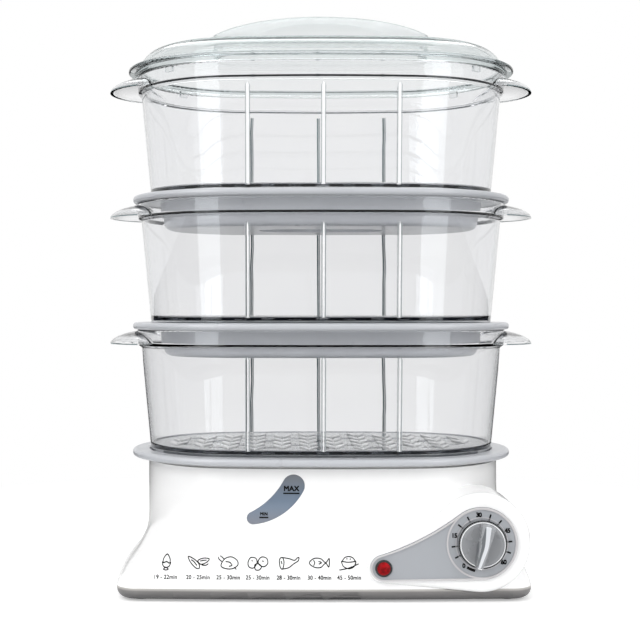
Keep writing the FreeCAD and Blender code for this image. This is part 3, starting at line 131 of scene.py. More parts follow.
def moulded(name, look):
    # opaque moulding: faint colour drift, gloss that varies, and the mould's fine texture
    material, tree, shader = newTree(name)
    colour = look["colour"]
    drift = look.get("drift", 0.02)
    darker = tuple(c * (1 - drift) for c in colour)
    tint = spread(tree, noiseAt(tree, look.get("driftSize", 40 * mm)), 0, 1)
    body = mixed(tree, tint, colour, darker)
    # optional bands along one axis multiply the colour: on the cover, panel and knob they are painted shade and
    # painted highlight, on the window a tint that changes with height
    if "bands" in look:
        shade = tree.nodes.new("ShaderNodeMix")
        shade.data_type = "RGBA"
        shade.blend_type = "MULTIPLY"
        shade.inputs["Factor"].default_value = 1.0
        joined(tree, body, shade.inputs["A"])
        joined(tree, banded(tree, *look["bands"]), shade.inputs["B"])
        body = shade.outputs["Result"]
    joined(tree, body, shader.inputs["Base Color"])
    rough = look["roughness"]
    shine = spread(tree, noiseAt(tree, look.get("shineSize", 12 * mm)), rough * 0.85, rough * 1.15)
    joined(tree, shine, shader.inputs["Roughness"])
    shader.inputs["Metallic"].default_value = look.get("metal", 0.0)
    shader.inputs["Specular IOR Level"].default_value = look.get("specular", 0.5)
    shader.inputs["Coat Weight"].default_value = look.get("coat", 0.0)
    shader.inputs["Coat Roughness"].default_value = 0.08
    stretch = look.get("brushed", (1, 1, 1))
    bumped(tree, shader, noiseAt(tree, look.get("grain", 0.5 * mm), 2.0, stretch), look.get("depth", 0.004 * mm))
    return material


def clear(name, look):
    # clear moulding: tinted by depth, so that edges seen along the wall go dark; painted shade also darkens its
    # colour where the surface turns edge-on to the view
    material, tree, shader = newTree(name)
    tint = spread(tree, noiseAt(tree, 60 * mm), 0, 1)
    # painted shade: where the surface is seen edge-on its colour darkens to the edge colour
    facing = tree.nodes.new("ShaderNodeLayerWeight")
    facing.inputs["Blend"].default_value = 0.5
    edge = tree.nodes.new("ShaderNodeMapRange")
    edge.inputs["From Min"].default_value = look.get("edgeFrom", 0.80)
    edge.inputs["From Max"].default_value = look.get("edgeTo", 1.0)
    joined(tree, facing.outputs["Facing"], edge.inputs["Value"])
    paintedEdgeShade = tree.nodes.new("ShaderNodeMix")
    paintedEdgeShade.data_type = "RGBA"
    joined(tree, edge.outputs["Result"], paintedEdgeShade.inputs["Factor"])
    joined(tree, mixed(tree, tint, look["colour"], look["second"]), paintedEdgeShade.inputs["A"])
    paintedEdgeShade.inputs["B"].default_value = (*look["edge"], 1)
    joined(tree, paintedEdgeShade.outputs["Result"], shader.inputs["Base Color"])
    rough = spread(tree, noiseAt(tree, 25 * mm), look["roughness"] * 0.6, look["roughness"] * 1.4)
    if "frosted" in look:
        place, frost = look["frosted"]
        above = tree.nodes.new("ShaderNodeMix")
        joined(tree, along(tree, "Z", place, place + mm), above.inputs["Factor"])
        joined(tree, rough, above.inputs["A"])
        above.inputs["B"].default_value = frost
        rough = above.outputs["Result"]
    joined(tree, rough, shader.inputs["Roughness"])
    shader.inputs["Transmission Weight"].default_value = 1.0
    shader.inputs["Specular Tint"].default_value = (*look.get("reflection", (1, 1, 1)), 1)
    shader.inputs["IOR"].default_value = look.get("ior", 1.5)
    bumped(tree, shader, noiseAt(tree, 30 * mm, 1.0), look.get("flow", 0.02 * mm))
    shadow = tree.nodes.new("ShaderNodeLightPath")
    letThrough = tree.nodes.new("ShaderNodeMath")
    letThrough.operation = "MULTIPLY_ADD"
    letThrough.inputs[1].default_value = -look.get("lightThrough", 0.85)
    letThrough.inputs[2].default_value = 1.0
    joined(tree, shadow.outputs["Is Shadow Ray"], letThrough.inputs[0])
    joined(tree, letThrough.outputs[0], shader.inputs["Alpha"])
    depth = tree.nodes.new("ShaderNodeVolumeAbsorption")
    depth.inputs["Color"].default_value = (*look["depthColour"], 1)
    depth.inputs["Density"].default_value = look["density"]
    joined(tree, depth.outputs["Volume"], tree.nodes["Material Output"].inputs["Volume"])
    return material


finishes = {
    "housing": moulded("whiteMoulding", {"colour": (0.92, 0.92, 0.92), "roughness": 0.18, "coat": 0.3,
                                         "drift": 0.008, "depth": 0.001 * mm}),
    # the cover's bands are painted shade, darker toward the bottom where its edge curves under, with a painted
    # highlight along its top line
    "cover": moulded("greyFoot", {"colour": (0.75, 0.74, 0.73), "roughness": 0.35, "coat": 0.1, "bands": (
        "Z", 0, 10 * mm, [(0, (0.07, 0.07, 0.07)), (0.3, (0.14, 0.14, 0.145)), (0.8, (0.25, 0.245, 0.245)),
                          (0.95, (0.6, 0.59, 0.57))])}),
    "rubber": moulded("blackRubber", {"colour": (0.03, 0.03, 0.03), "roughness": 0.7, "depth": 0.01 * mm}),
    "screw": moulded("platedScrew", {"colour": (0.55, 0.55, 0.56), "roughness": 0.3, "metal": 1.0}),
    "tank": moulded("whiteTank", {"colour": (0.86, 0.86, 0.85), "roughness": 0.3}),
    "window": moulded("tintedWindow", {"colour": (0.185, 0.21, 0.25), "roughness": 0.16, "coat": 0.3, "bands": (
        "Z", 52 * mm, 87 * mm, [(0, (1.0, 0.95, 0.95)), (0.35, (0.85, 0.98, 1.1)), (0.6, (0.85, 0.95, 1.05)),
                                (1, (0.98, 0.92, 0.85))])}),
    "seal": moulded("siliconeSeal", {"colour": (0.55, 0.54, 0.5), "roughness": 0.6}),
    # the panel's bands are a painted highlight on its raised front and painted shade on the parts set back
    "panel": moulded("greyPanel", {"colour": (0.62, 0.62, 0.63), "roughness": 0.38, "coat": 0.1, "bands": (
        "Y", -108.0 * mm, -107.1 * mm, [(0, (0.9, 0.88, 0.88)), (0.35, (0.84, 0.82, 0.83)),
                                        (0.7, (0.56, 0.585, 0.615))])}),
    # the knob's bands are a painted highlight on its front-most face, darker further back
    "knob": moulded("greyKnob", {"colour": (0.60, 0.62, 0.65), "roughness": 0.28, "coat": 0.25, "bands": (
        "Y", -121.9 * mm, -112 * mm, [(0, (0.50, 0.50, 0.50)), (0.2, (0.44, 0.44, 0.44)),
                                      (1, (0.42, 0.42, 0.42))])}),
    "shaft": moulded("turnedSteel", {"colour": (0.6, 0.6, 0.6), "roughness": 0.25, "metal": 1.0}),
    "black": moulded("blackMoulding", {"colour": (0.02, 0.02, 0.02), "roughness": 0.4}),
    "lens": moulded("redLens", {"colour": (0.40, 0.0, 0.004), "roughness": 0.4, "coat": 0.0, "drift": 0.75,
                                "driftSize": 3 * mm, "specular": 0.15, "grain": 1.6 * mm, "depth": 0.12 * mm}),
    "white": moulded("whiteFitting", {"colour": (0.8, 0.8, 0.78), "roughness": 0.45}),
    "steel": moulded("stainlessPlate", {"colour": (0.62, 0.62, 0.61), "roughness": 0.25, "metal": 1.0,
                                        "brushed": (1, 40, 1)}),
    "sheath": moulded("heatTintedSheath", {"colour": (0.35, 0.33, 0.31), "roughness": 0.45, "metal": 1.0}),
    "ring": moulded("greyRing", {"colour": (0.5, 0.53, 0.57), "roughness": 0.4}),
    # print colour, also used as painted shade for the dark ring at the knob's edge
    "ink": moulded("blackInkAndEdgeShade", {"colour": (0.006, 0.006, 0.006), "roughness": 0.6, "specular": 0.1}),
    "brown": moulded("brownLead", {"colour": (0.16, 0.05, 0.02), "roughness": 0.5}),
    "blue": moulded("blueLead", {"colour": (0.02, 0.06, 0.32), "roughness": 0.5}),
    "tray": moulded("greyTray", {"colour": (0.50, 0.515, 0.545), "roughness": 0.32, "coat": 0.15}),
    # the edge colours of the clear baskets and lid are painted shade, shown where they are seen edge-on
    "clear": clear("clearBasket", {"colour": (1.0, 1.0, 1.0), "second": (0.985, 0.985, 0.99), "roughness": 0.02,
                                   "edge": (0.38, 0.44, 0.45), "depthColour": (0.52, 0.54, 0.57), "density": 80.0,
                                   "reflection": (0.78, 0.82, 0.84)}),
    "lid": clear("clearLid", {"colour": (1.0, 1.0, 1.0), "second": (0.985, 0.99, 0.99), "roughness": 0.02,
                              "edge": (0.20, 0.33, 0.33), "edgeFrom": 0.74, "reflection": (0.30, 0.40, 0.40),
                              "depthColour": (0.46, 0.54, 0.55), "density": 70.0, "frosted": (411.5 * mm, 0.45)}),
    # painted highlights and painted shade laid on the clear ribs, basket floors, handles and lid
    "highlight": moulded("paintedHighlight", {"colour": (0.93, 0.94, 0.95), "roughness": 0.15, "coat": 0.5}),
    "ridgeHighlight": moulded("floorRidgeHighlight", {"colour": (0.97, 0.97, 0.97), "roughness": 0.1, "coat": 1.0}),
    "dimShade": moulded("paintedDimShade", {"colour": (0.33, 0.36, 0.37), "roughness": 0.2, "coat": 0.4}),
    "tealShade": moulded("paintedTealShade", {"colour": (0.11, 0.16, 0.17), "roughness": 0.15, "coat": 0.5}),
    "domeEdgeShade": moulded("domeEdgeShade", {"colour": (0.13, 0.21, 0.21), "roughness": 0.25}),
    # painted shadow in the recess beside the knob's rib, and a painted highlight along the rib
    "grooveShadow": moulded("knobGrooveShadow", {"colour": (0.13, 0.14, 0.15), "roughness": 0.4}),
    "bladeHighlight": moulded("knobPaintedLight", {"colour": (0.66, 0.68, 0.71), "roughness": 0.22, "coat": 0.4}),
}
finishOf = {
    "base_housing": "housing", "bottom_cover": "cover", "feet": "rubber", "housing_screws": "screw",
    "water_tank": "tank", "level_window": "window", "level_seal": "seal", "control_panel": "panel",
    "timer_knob": "knob", "timer_shaft": "shaft", "timer_case": "black", "timer_bell": "shaft",
    "timer_screws": "screw", "lamp_bezel": "black", "lamp_lens": "lens", "lamp_holder": "white",
    "heater_plate": "steel", "heater_seal": "seal", "heater_clamp": "screw", "clamp_screws": "screw",
    "heater_element": "sheath", "thermostat": "black", "thermal_fuse": "white", "steam_ring": "ring",
    "terminal_block": "white", "lead_heater": "brown", "lead_timer": "blue", "lead_live": "brown",
    "lead_lamp": "blue", "cord_bush": "rubber",
    "drip_tray_1": "tray", "drip_tray_2": "tray", "drip_tray_3": "tray",
    "basket_1": "clear", "basket_2": "clear", "basket_3": "clear", "lid": "lid",
}
for name, item in nodes.items():
    item.data.materials.clear()
    item.data.materials.append(finishes[finishOf[name]])
print("finishes on", len(nodes), "nodes")


# Print on the front: everything is drawn flat, then laid onto the moulding behind it. Further down, painted
# highlights and painted shade on the knob, baskets and lid

def newPiece(name, mesh, body, finish):
    item = bpy.data.objects.new(name, mesh)
    scene.collection.objects.link(item)
    mesh.materials.append(finishes[finish])
    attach(item, body)
    return item


def treeOf(*names):
    # one search tree over the surfaces of several nodes
    corners, faces = [], []
    for name in names:
        mesh = nodes[name].data
        first = len(corners)
        corners += [v.co.copy() for v in mesh.vertices]
        faces += [[first + i for i in p.vertices] for p in mesh.polygons]
    return BVHTree.FromPolygons(corners, faces)


wellInFront = -0.2  # where the search for a front surface starts


def frontOf(surface, x, z):
    # the first place of the surface behind a point seen from the front
    return surface.ray_cast(Vector((x, wellInFront, z)), Vector((0, 1, 0)))[0]


def layOn(mesh, surface, lift):
    # pushes each corner back along +Y onto the surface, and stands it a hair in front
    for vertex in mesh.vertices:
        hit = frontOf(surface, vertex.co.x, vertex.co.z)
        if hit is None:
            raise ValueError("print misses the moulding at %.1f, %.1f" % (vertex.co.x / mm, vertex.co.z / mm))
        vertex.co = hit - Vector((0, lift, 0))


def letters(words, height, place, bold=0.0, spacing=0.95):
    # flat lettering as a mesh in the XZ plane, made bold by shifted copies
    curve = bpy.data.curves.new("lettering", "FONT")
    curve.body = words
    curve.size = height / 0.7
    curve.align_x = "CENTER"
    curve.align_y = "CENTER"
    curve.space_character = spacing
    item = bpy.data.objects.new("lettering", curve)
    scene.collection.objects.link(item)
    bpy.context.view_layer.update()
    mesh = bpy.data.meshes.new_from_object(item.evaluated_get(bpy.context.evaluated_depsgraph_get()))
    bpy.data.objects.remove(item)
    bpy.data.curves.remove(curve)
    mesh.transform(Matrix.Translation(Vector((place[0], 0, place[1]))) @ Matrix.Rotation(math.radians(90), 4, "X"))
    if not bold:
        return mesh
    copies = []
    for x, z in ((-bold, -bold), (-bold, bold), (bold, -bold), (bold, bold), (0, 0)):
        copy = mesh.copy()
        copy.transform(Matrix.Translation(Vector((x, 0, z))))
        copies.append(copy)
    bpy.data.meshes.remove(mesh)
    return merged("bold_lettering", copies)


def ribbon(points, width):
    # a drawn line of even width through points (x, z)
    mesh = bpy.data.meshes.new("stroke")
    corners, faces = [], []
    closed = points[0] == points[-1]
    line = [Vector(p) for p in (points[:-1] if closed else points)]
    count = len(line)
    for i, here in enumerate(line):
        before = line[(i - 1) % count] if closed or i > 0 else here
        after = line[(i + 1) % count] if closed or i < count - 1 else here
        heading = (after - before).normalized()
        side = Vector((-heading.y, heading.x)) * width / 2
        corners += [(here.x + side.x, 0, here.y + side.y), (here.x - side.x, 0, here.y - side.y)]
    for i in range(count if closed else count - 1):
        j = (i + 1) % count
        faces.append((2 * i, 2 * i + 1, 2 * j + 1, 2 * j))
    mesh.from_pydata(corners, [], faces)
    return mesh


def rounded(points, steps=6):
    # a smooth line through the points given
    closed = points[0] == points[-1]
    line = [Vector(p) for p in points]
    result = []
    last = len(line) - 1
    for i in range(last):
        p0 = line[i - 1] if i > 0 else (line[-2] if closed else line[0])
        p1, p2 = line[i], line[i + 1]
        p3 = line[i + 2] if i + 2 <= last else (line[1] if closed else line[-1])
        for k in range(steps):
            t = k / steps
            result.append(tuple(0.5 * ((2 * p1) + (p2 - p0) * t + (2 * p0 - 5 * p1 + 4 * p2 - p3) * t * t
                                       + (3 * p1 - p0 - 3 * p2 + p3) * t ** 3)))
    result.append(result[0] if closed else tuple(line[-1]))
    return result


def merged(name, meshes):
    whole = bmesh.new()
    for mesh in meshes:
        whole.from_mesh(mesh)
        bpy.data.meshes.remove(mesh)
    result = bpy.data.meshes.new(name)
    whole.to_mesh(result)
    whole.free()
    return result


foodGuide = {
    "height": 26.8 * mm, "timesHeight": 17.6 * mm, "letter": 2.55 * mm, "bold": 0.09 * mm,
    "line": 0.72 * mm, "lift": 0.14 * mm,
    "places": [-112.6, -89.4, -68.0, -47.2, -25.4, -3.6, 17.4],  # mm to the right
    "times": ["19 - 22min", "20 - 25min", "25 - 30min", "25 - 30min", "28 - 30min", "30 - 40min", "45 - 50min"],
}
# simple line drawings about their own middle, in mm
drawings = [
    # egg in its cup
    [[(-2.6, -0.6), (-2.3, 1.6), (0, 3.9), (2.3, 1.6), (2.6, -0.6)],
     [(-3.2, -0.4), (-2.0, -0.9), (0, -0.2), (2.0, -0.9), (3.2, -0.4)],
     [(-3.2, -0.4), (-2.2, -2.6), (0, -3.4), (2.2, -2.6), (3.2, -0.4)],
     [(-1.7, -4.4), (0, -3.4), (1.7, -4.4), (0, -4.9), (-1.7, -4.4)]],
    # two pods
    [[(-7.6, 3.6), (-6.0, 0.2), (-2.0, -3.4), (0.6, -3.6), (0.2, -1.0), (-3.0, 1.8), (-7.6, 3.6)],
     [(-5.6, 1.6), (-3.2, 0.2), (-1.2, -2.0)],
     [(-0.6, 1.0), (3.2, 2.6), (7.4, 2.2), (5.6, 0.0), (1.6, -1.2), (-0.6, 1.0)],
     [(1.0, 0.8), (3.4, 1.2), (5.6, 1.4)], [(2.2, -1.6), (5.0, -1.8), (7.0, -0.8)]],
    # chicken
    [[(-5.4, -2.0), (-3.0, 2.2), (1.6, 3.6), (5.8, 1.6), (6.6, -1.4), (3.2, -3.6), (-1.6, -3.8), (-5.4, -2.0)],
     [(-4.6, 0.4), (-7.0, 2.2), (-7.6, 3.6)], [(-3.2, 2.0), (-5.0, 3.6), (-6.2, 4.2)],
     [(-2.2, 0.6), (0.6, 0.2), (2.4, -1.6), (0.2, -2.4)], [(4.0, -2.8), (5.6, -4.2)]],
    # potatoes
    [[(-7.0, 0.2), (-5.2, 3.2), (-1.6, 2.8), (-0.6, 0.0), (-3.0, -3.2), (-6.2, -2.6), (-7.0, 0.2)],
     [(0.2, 1.0), (2.6, 3.6), (6.2, 2.8), (7.0, -0.4), (4.4, -2.4), (1.2, -1.4), (0.2, 1.0)],
     [(-2.2, -1.4), (0.2, -0.6), (2.6, -2.4), (1.0, -4.4), (-1.6, -4.2), (-2.2, -1.4)],
     [(-4.6, 1.4), (-3.6, 1.0)], [(3.0, 1.2), (4.2, 0.8)]],
    # leg of meat
    [[(-6.4, 2.0), (-4.4, 3.4), (-3.2, 0.4), (-4.2, -3.8), (-6.0, -2.4), (-6.4, 2.0)],
     [(-4.4, 3.4), (0.6, 2.6), (4.2, 1.6), (6.0, 3.0)], [(-4.2, -3.8), (0.0, -3.0), (3.4, -0.8), (6.6, 1.0)],
     [(6.0, 3.0), (7.4, 3.4), (7.2, 1.8), (6.6, 1.0)], [(-5.2, 1.2), (-4.6, -0.8)]],
    # fish
    [[(-7.0, 0.0), (-3.6, 2.8), (1.2, 2.6), (4.6, 0.2), (7.2, 2.8), (6.8, -2.6), (4.6, -0.2), (1.0, -2.8),
      (-3.6, -2.6), (-7.0, 0.0)],
     [(-4.0, 1.8), (-3.2, 0.0), (-4.0, -1.8)], [(-5.4, 0.7), (-5.2, 0.5)], [(-0.6, 1.0), (1.6, 0.2), (-0.4, -0.8)]],
    # bowl of rice
    [[(-4.6, 1.0), (-2.6, 3.4), (0.6, 4.0), (3.2, 3.0), (4.8, 1.0)], [(-5.2, 1.0), (0.0, 0.4), (5.2, 1.0)],
     [(-5.2, 1.0), (-3.8, -2.2), (0.0, -3.6), (3.8, -2.2), (5.2, 1.0)], [(-6.8, -4.4), (0.0, -3.2), (7.0, -0.6)],
     [(-1.6, 2.4), (-0.8, 2.8)], [(0.8, 2.2), (1.6, 2.6)]],
]


def makeFoodGuide():
    front = treeOf("base_housing")
    parts = []
    for place, drawing, time in zip(foodGuide["places"], drawings, foodGuide["times"]):
        for stroke in drawing:
            line = [((place + x) * mm, foodGuide["height"] + z * mm) for x, z in stroke]
            parts.append(ribbon(rounded(line), foodGuide["line"]))
        parts.append(letters(time, foodGuide["letter"], (place * mm, foodGuide["timesHeight"]), foodGuide["bold"],
                             1.06))
    artwork = merged("food_guide", parts)
    layOn(artwork, front, foodGuide["lift"])
    newPiece("food_guide_print", artwork, "base", "ink")


dialPrint = {
    "middle": (110.1 * mm, 42.9 * mm), "numbers": 20.1 * mm, "letter": 3.0 * mm,
    "bold": 0.2 * mm, "ticks": (17.2 * mm, 21.4 * mm), "tick": 1.15 * mm,
    # number and its angle from the right, anticlockwise
    "marks": [("0", 231.0), ("15", 164.0), ("30", 96.0), ("45", 26.5), ("60", -40.6)],
    "bar": (238.0, 256.0, 18.6 * mm, 20.6 * mm),
}


def onDial(radius, angle):
    x, z = dialPrint["middle"]
    return (x + radius * math.cos(math.radians(angle)), z + radius * math.sin(math.radians(angle)))


def dialRing(low, high):
    circle = [onDial((low + high) / 2, a * 3.75) for a in range(96)]
    return ribbon(circle + circle[:1], high - low)


def makeDialPrint():
    front = treeOf("control_panel")
    parts = []
    marks = dialPrint["marks"]
    for (words, angle), following in zip(marks, marks[1:] + [None]):
        parts.append(letters(words, dialPrint["letter"], onDial(dialPrint["numbers"], angle), dialPrint["bold"], 0.9))
        if following:
            for share in (1 / 3, 2 / 3):
                at = angle + (following[1] - angle) * share
                low, high = dialPrint["ticks"]
                line = [onDial(low + (high - low) * k / 8, at) for k in range(9)]
                parts.append(ribbon(line, dialPrint["tick"]))
    first, last, low, high = dialPrint["bar"]
    parts.append(ribbon([onDial((low + high) / 2, a) for a in (first, (first + last) / 2, last)], high - low))
    ink = merged("dial_print", parts)
    layOn(ink, front, foodGuide["lift"])
    newPiece("dial_print", ink, "base", "ink")


knobPaintedLight = {
    # painted highlight on the knob's rib and painted shadow beside it: outlines (x, height) about the knob's middle,
    # in mm, laid on its front
    "bladeHighlight": [(0.9, 14.2), (4.7, 14.2), (3.6, 7.0), (2.4, 0.0), (0.0, -7.0), (-3.1, -14.6), (-4.8, -14.6),
              (-2.4, -7.0), (-0.2, 0.0), (0.6, 7.0)],
    "grooveShadow": [(0.4, 13.6), (0.8, 13.8), (0.5, 7.0), (-0.4, 0.0), (-2.6, -7.0), (-4.9, -13.4), (-5.4, -13.2),
               (-5.0, -7.0), (-4.2, 0.0), (-1.6, 7.0)],
    "rows": 10, "columns": 4, "ring": (15.9 * mm, 16.93 * mm), "paleRimHighlight": (15.2 * mm, 15.7 * mm),
    # how far each stands in front of the knob, and how far past the solids' own front the blade highlight may reach
    "lifts": {"grooveShadow": 0.05 * mm, "bladeHighlight": 0.1 * mm, "ring": 0.06 * mm, "paleRimHighlight": 0.06 * mm}, "past": 0.04 * mm,
}


def makeKnobPaintedLight():
    front = treeOf("timer_knob")
    x, z = dialPrint["middle"]
    limit = cadBox[0][1] - knobPaintedLight["past"]
    rows, columns = knobPaintedLight["rows"], knobPaintedLight["columns"]
    across = columns + 1
    # the blade is a painted highlight on the knob's rib, the groove a painted shadow in the recess beside it
    for name in ("grooveShadow", "bladeHighlight"):
        outline = knobPaintedLight[name]
        half = len(outline) // 2
        right, left = outline[1:half + 1], [outline[0]] + outline[:half:-1]
        mesh = bpy.data.meshes.new(name)
        corners, faces = [], []
        sides = [rounded(left, rows), rounded(right, rows)]
        for a, b in zip(*sides):
            for k in range(across):
                at = Vector(a).lerp(Vector(b), k / columns)
                corners.append((x + at.x * mm, 0, z + at.y * mm))
        for i in range(len(corners) // across - 1):
            for k in range(columns):
                first = across * i + k
                faces.append((first, first + 1, first + across + 1, first + across))
        mesh.from_pydata(corners, [], faces)
        layOn(mesh, front, knobPaintedLight["lifts"][name])
        for vertex in mesh.vertices:
            vertex.co.y = max(vertex.co.y, limit)
        newPiece("knob_" + name, mesh, "knob", name)
    # painted shade as a dark ring at the knob's outer edge, and a painted highlight as a pale line just inside it
    for name, finish in (("ring", "ink"), ("paleRimHighlight", "highlight")):
        mesh = dialRing(*knobPaintedLight[name])
        layOn(mesh, front, knobPaintedLight["lifts"][name])
        newPiece("knob_" + name, mesh, "knob", finish)


tiers = {
    "levels": [97.0 * mm, 194.5 * mm, 292.0 * mm], "ribs": [-55.0 * mm, 0.0, 55.0 * mm],
    "depth": 75.3 * mm, "lean": 0.095, "wall": 2.2 * mm, "rib": 3.2 * mm, "low": 6.6 * mm,
    "frontTop": [73.5 * mm, 73.5 * mm, 77.0 * mm], "backTop": 76.0 * mm,
    # painted highlight and painted shade lines down each rib: offset across it, width, finish; brightest in the top
    # basket
    "frontLines": [[(-1.3, 0.6, "dimShade"), (0.1, 0.7, "highlight"), (1.4, 0.7, "dimShade")],
                   [(-1.3, 0.6, "dimShade"), (0.1, 1.1, "highlight"), (1.4, 0.7, "dimShade")],
                   [(-1.45, 0.5, "dimShade"), (0.0, 2.1, "highlight"), (1.5, 0.5, "dimShade")]],
    "backLines": [(-0.7, 1.3, "tealShade"), (0.7, 0.9, "dimShade")],
    "frontLift": 0.12 * mm, "backLift": 0.15 * mm, "tip": 2.4 * mm, "tipLean": 0.3,
}


def makeRibLines(number, level):
    found = {}
    for x in tiers["ribs"]:
        for side, lines in ((-1, tiers["frontLines"][number - 1]), (1, tiers["backLines"])):
            top = tiers["frontTop"][number - 1] if side < 0 else tiers["backTop"]
            for offset, width, finish in lines:
                left, right = x + (offset - width / 2) * mm, x + (offset + width / 2) * mm
                mesh = bpy.data.meshes.new("line")
                corners = []
                for z in (tiers["low"], top):
                    out = tiers["depth"] + tiers["lean"] * z
                    y = -out - tiers["frontLift"]
                    if side > 0:
                        y = out - tiers["wall"] - tiers["rib"] - tiers["backLift"]
                    corners += [(left, y, level + z), (right, y, level + z)]
                if side < 0:
                    tip = corners[2]
                    corners.append((x + offset * mm * tiers["tipLean"], tip[1], tip[2] + tiers["tip"]))
                    mesh.from_pydata(corners, [], [(0, 1, 3, 4, 2)])
                else:
                    mesh.from_pydata(corners, [], [(0, 1, 3, 2)])
                found.setdefault(finish, []).append(mesh)
    for finish, meshes in found.items():
        name = "rib_lines_%s_%d" % (finish, number)
        newPiece(name, merged(name, meshes), "steam_basket_%d" % number, finish)


floorPattern = {
    "column": 20.0 * mm, "columns": 5, "row": 25.0 * mm, "rows": 3, "arm": (6.2 * mm, 15.0 * mm), "gap": 5.5 * mm,
    "thick": 1.5 * mm, "low": 6.45 * mm, "high": 7.3 * mm, "half": (119.0 * mm, 62.0 * mm),
    "slots": [(-2.9 * mm, -0.5 * mm), (0.5 * mm, 2.9 * mm)], "slotLength": 9.0 * mm,
}


def onFloor(x, y):
    wide, deep = floorPattern["half"]
    return abs(x / wide) ** 2.6 + abs(y / deep) ** 2.6 < 1


def standingRib(into, start, end, level):
    a, b = Vector(start), Vector(end)
    side = Vector((-(b - a).y, (b - a).x)).normalized() * floorPattern["thick"] / 2
    plan = [a - side, b - side, b + side, a + side]
    if not all(onFloor(p.x, p.y) for p in plan):
        return
    low = [into.verts.new((p.x, p.y, level + floorPattern["low"])) for p in plan]
    high = [into.verts.new((p.x, p.y, level + floorPattern["high"])) for p in plan]
    into.faces.new(high)
    for i in range(4):
        j = (i + 1) % 4
        into.faces.new([low[i], low[j], high[j], high[i]])


def makeFloorPattern(number, level):
    # herringbone of raised double ribs with a painted highlight, with pairs of drain slots between its columns drawn
    # as painted shade
    ribs, slots = bmesh.new(), bmesh.new()
    armX, armY = floorPattern["arm"]
    for column in range(-floorPattern["columns"] - 1, floorPattern["columns"] + 1):
        middle = (column + 0.5) * floorPattern["column"]
        for row in range(-floorPattern["rows"], floorPattern["rows"] + 1):
            y = (row + 0.5 * (column % 2)) * floorPattern["row"]
            for side in (-1, 1):
                for shift in (0, floorPattern["gap"]):
                    standingRib(ribs, (middle, y + shift), (middle + side * armX, y + armY + shift), level)
            at = middle + floorPattern["column"] / 2
            for left, right in floorPattern["slots"]:
                plan = [(at + left, y), (at + right, y), (at + right, y + floorPattern["slotLength"]),
                        (at + left, y + floorPattern["slotLength"])]
                if all(onFloor(*p) for p in plan):
                    slots.faces.new([slots.verts.new((*p, level + floorPattern["low"])) for p in plan])
    for name, finish, part in (("floor_ribs", "ridgeHighlight", ribs), ("floor_slot_shade", "tealShade", slots)):
        mesh = bpy.data.meshes.new(name)
        part.to_mesh(mesh)
        part.free()
        newPiece("%s_%d" % (name, number), mesh, "steam_basket_%d" % number, finish)


gripEdge = {
    # painted shade along the handles' lower edge: middle, reach and half length seen from above, heights, degrees to
    # each side
    "middle": 121.0 * mm, "reach": 43.4 * mm, "half": 47.6 * mm, "low": 83.15 * mm, "high": 83.95 * mm,
    "turn": 66, "steps": 32,
}


def makeGripEdges(number, level):
    mesh = bpy.data.meshes.new("grip_edge_shade")
    steps = gripEdge["steps"]
    corners, faces = [], []
    for side in (-1, 1):
        first = len(corners)
        for i in range(steps + 1):
            turn = math.radians(gripEdge["turn"] * (2 * i / steps - 1))
            x = side * (gripEdge["middle"] + gripEdge["reach"] * math.cos(turn))
            y = gripEdge["half"] * math.sin(turn)
            corners += [(x, y, level + gripEdge["low"]), (x, y, level + gripEdge["high"])]
        for i in range(steps):
            k = first + 2 * i
            faces.append((k, k + 2, k + 3, k + 1))
    mesh.from_pydata(corners, [], faces)
    newPiece("grip_edges_%d" % number, mesh, "steam_basket_%d" % number, "tealShade")


domeLine = {
    # painted shade as a dark line along the lid's shoulder: reach to each side, the heights searched, its width and
    # the view's slope
    "half": 131.0 * mm, "steps": 60, "high": 411.2 * mm, "low": 393.0 * mm, "drop": 1.9 * mm, "slope": 0.213,
    "search": 0.2 * mm, "lift": 0.08 * mm,
}


def makeDomeLine():
    surface = treeOf("lid")
    corners = []
    steps = domeLine["steps"]
    for i in range(steps + 1):
        x = domeLine["half"] * math.sin(math.radians(90 * (2 * i / steps - 1)))
        found = []
        z = domeLine["high"]
        while z > domeLine["low"]:
            hit = frontOf(surface, x, z)
            if hit is not None:
                found.append((hit.z - domeLine["slope"] * hit.y, hit))
            z -= domeLine["search"]
        upper = max(found, key=lambda pair: pair[0])[1]
        lower = frontOf(surface, x, upper.z - domeLine["drop"]) or upper
        for place in (upper, lower):
            corners.append(place - Vector((0, domeLine["lift"], 0)))
    faces = [(2 * i, 2 * i + 1, 2 * i + 3, 2 * i + 2) for i in range(steps)]
    mesh = bpy.data.meshes.new("dome_shade_line")
    mesh.from_pydata(corners, [], faces)
    newPiece("dome_shade_line", mesh, "cover_lid", "domeEdgeShade")


levelMarks = {
    # word, middle (x, z), height, boldness, spacing, half length of its line, how far below the line is
    "marks": [("MAX", (-23.3, 77.3), 3.6, 0.2, 1.02, 5.9, 3.3), ("MIN", (-43.2, 59.1), 2.1, 0.13, 1.05, 3.3, 2.4)],
    "line": 1.05,
}


def makeLevelMarks():
    parts = []
    for words, (x, z), height, bold, spacing, half, below in levelMarks["marks"]:
        parts.append(letters(words, height * mm, (x * mm, z * mm), bold * mm, spacing))
        low = (z - below) * mm
        parts.append(ribbon([((x - half) * mm, low), (x * mm, low), ((x + half) * mm, low)], levelMarks["line"] * mm))
    ink = merged("level_marks", parts)
    layOn(ink, treeOf("level_window"), foodGuide["lift"])
    newPiece("level_marks", ink, "base", "ink")


makeFoodGuide()
makeDialPrint()
makeLevelMarks()
print("print on the front")
makeKnobPaintedLight()
makeDomeLine()
for number, level in enumerate(tiers["levels"], 1):
    makeRibLines(number, level)
    makeFloorPattern(number, level)
    makeGripEdges(number, level)
print("knob blade, ribs and basket floors")


# Studio

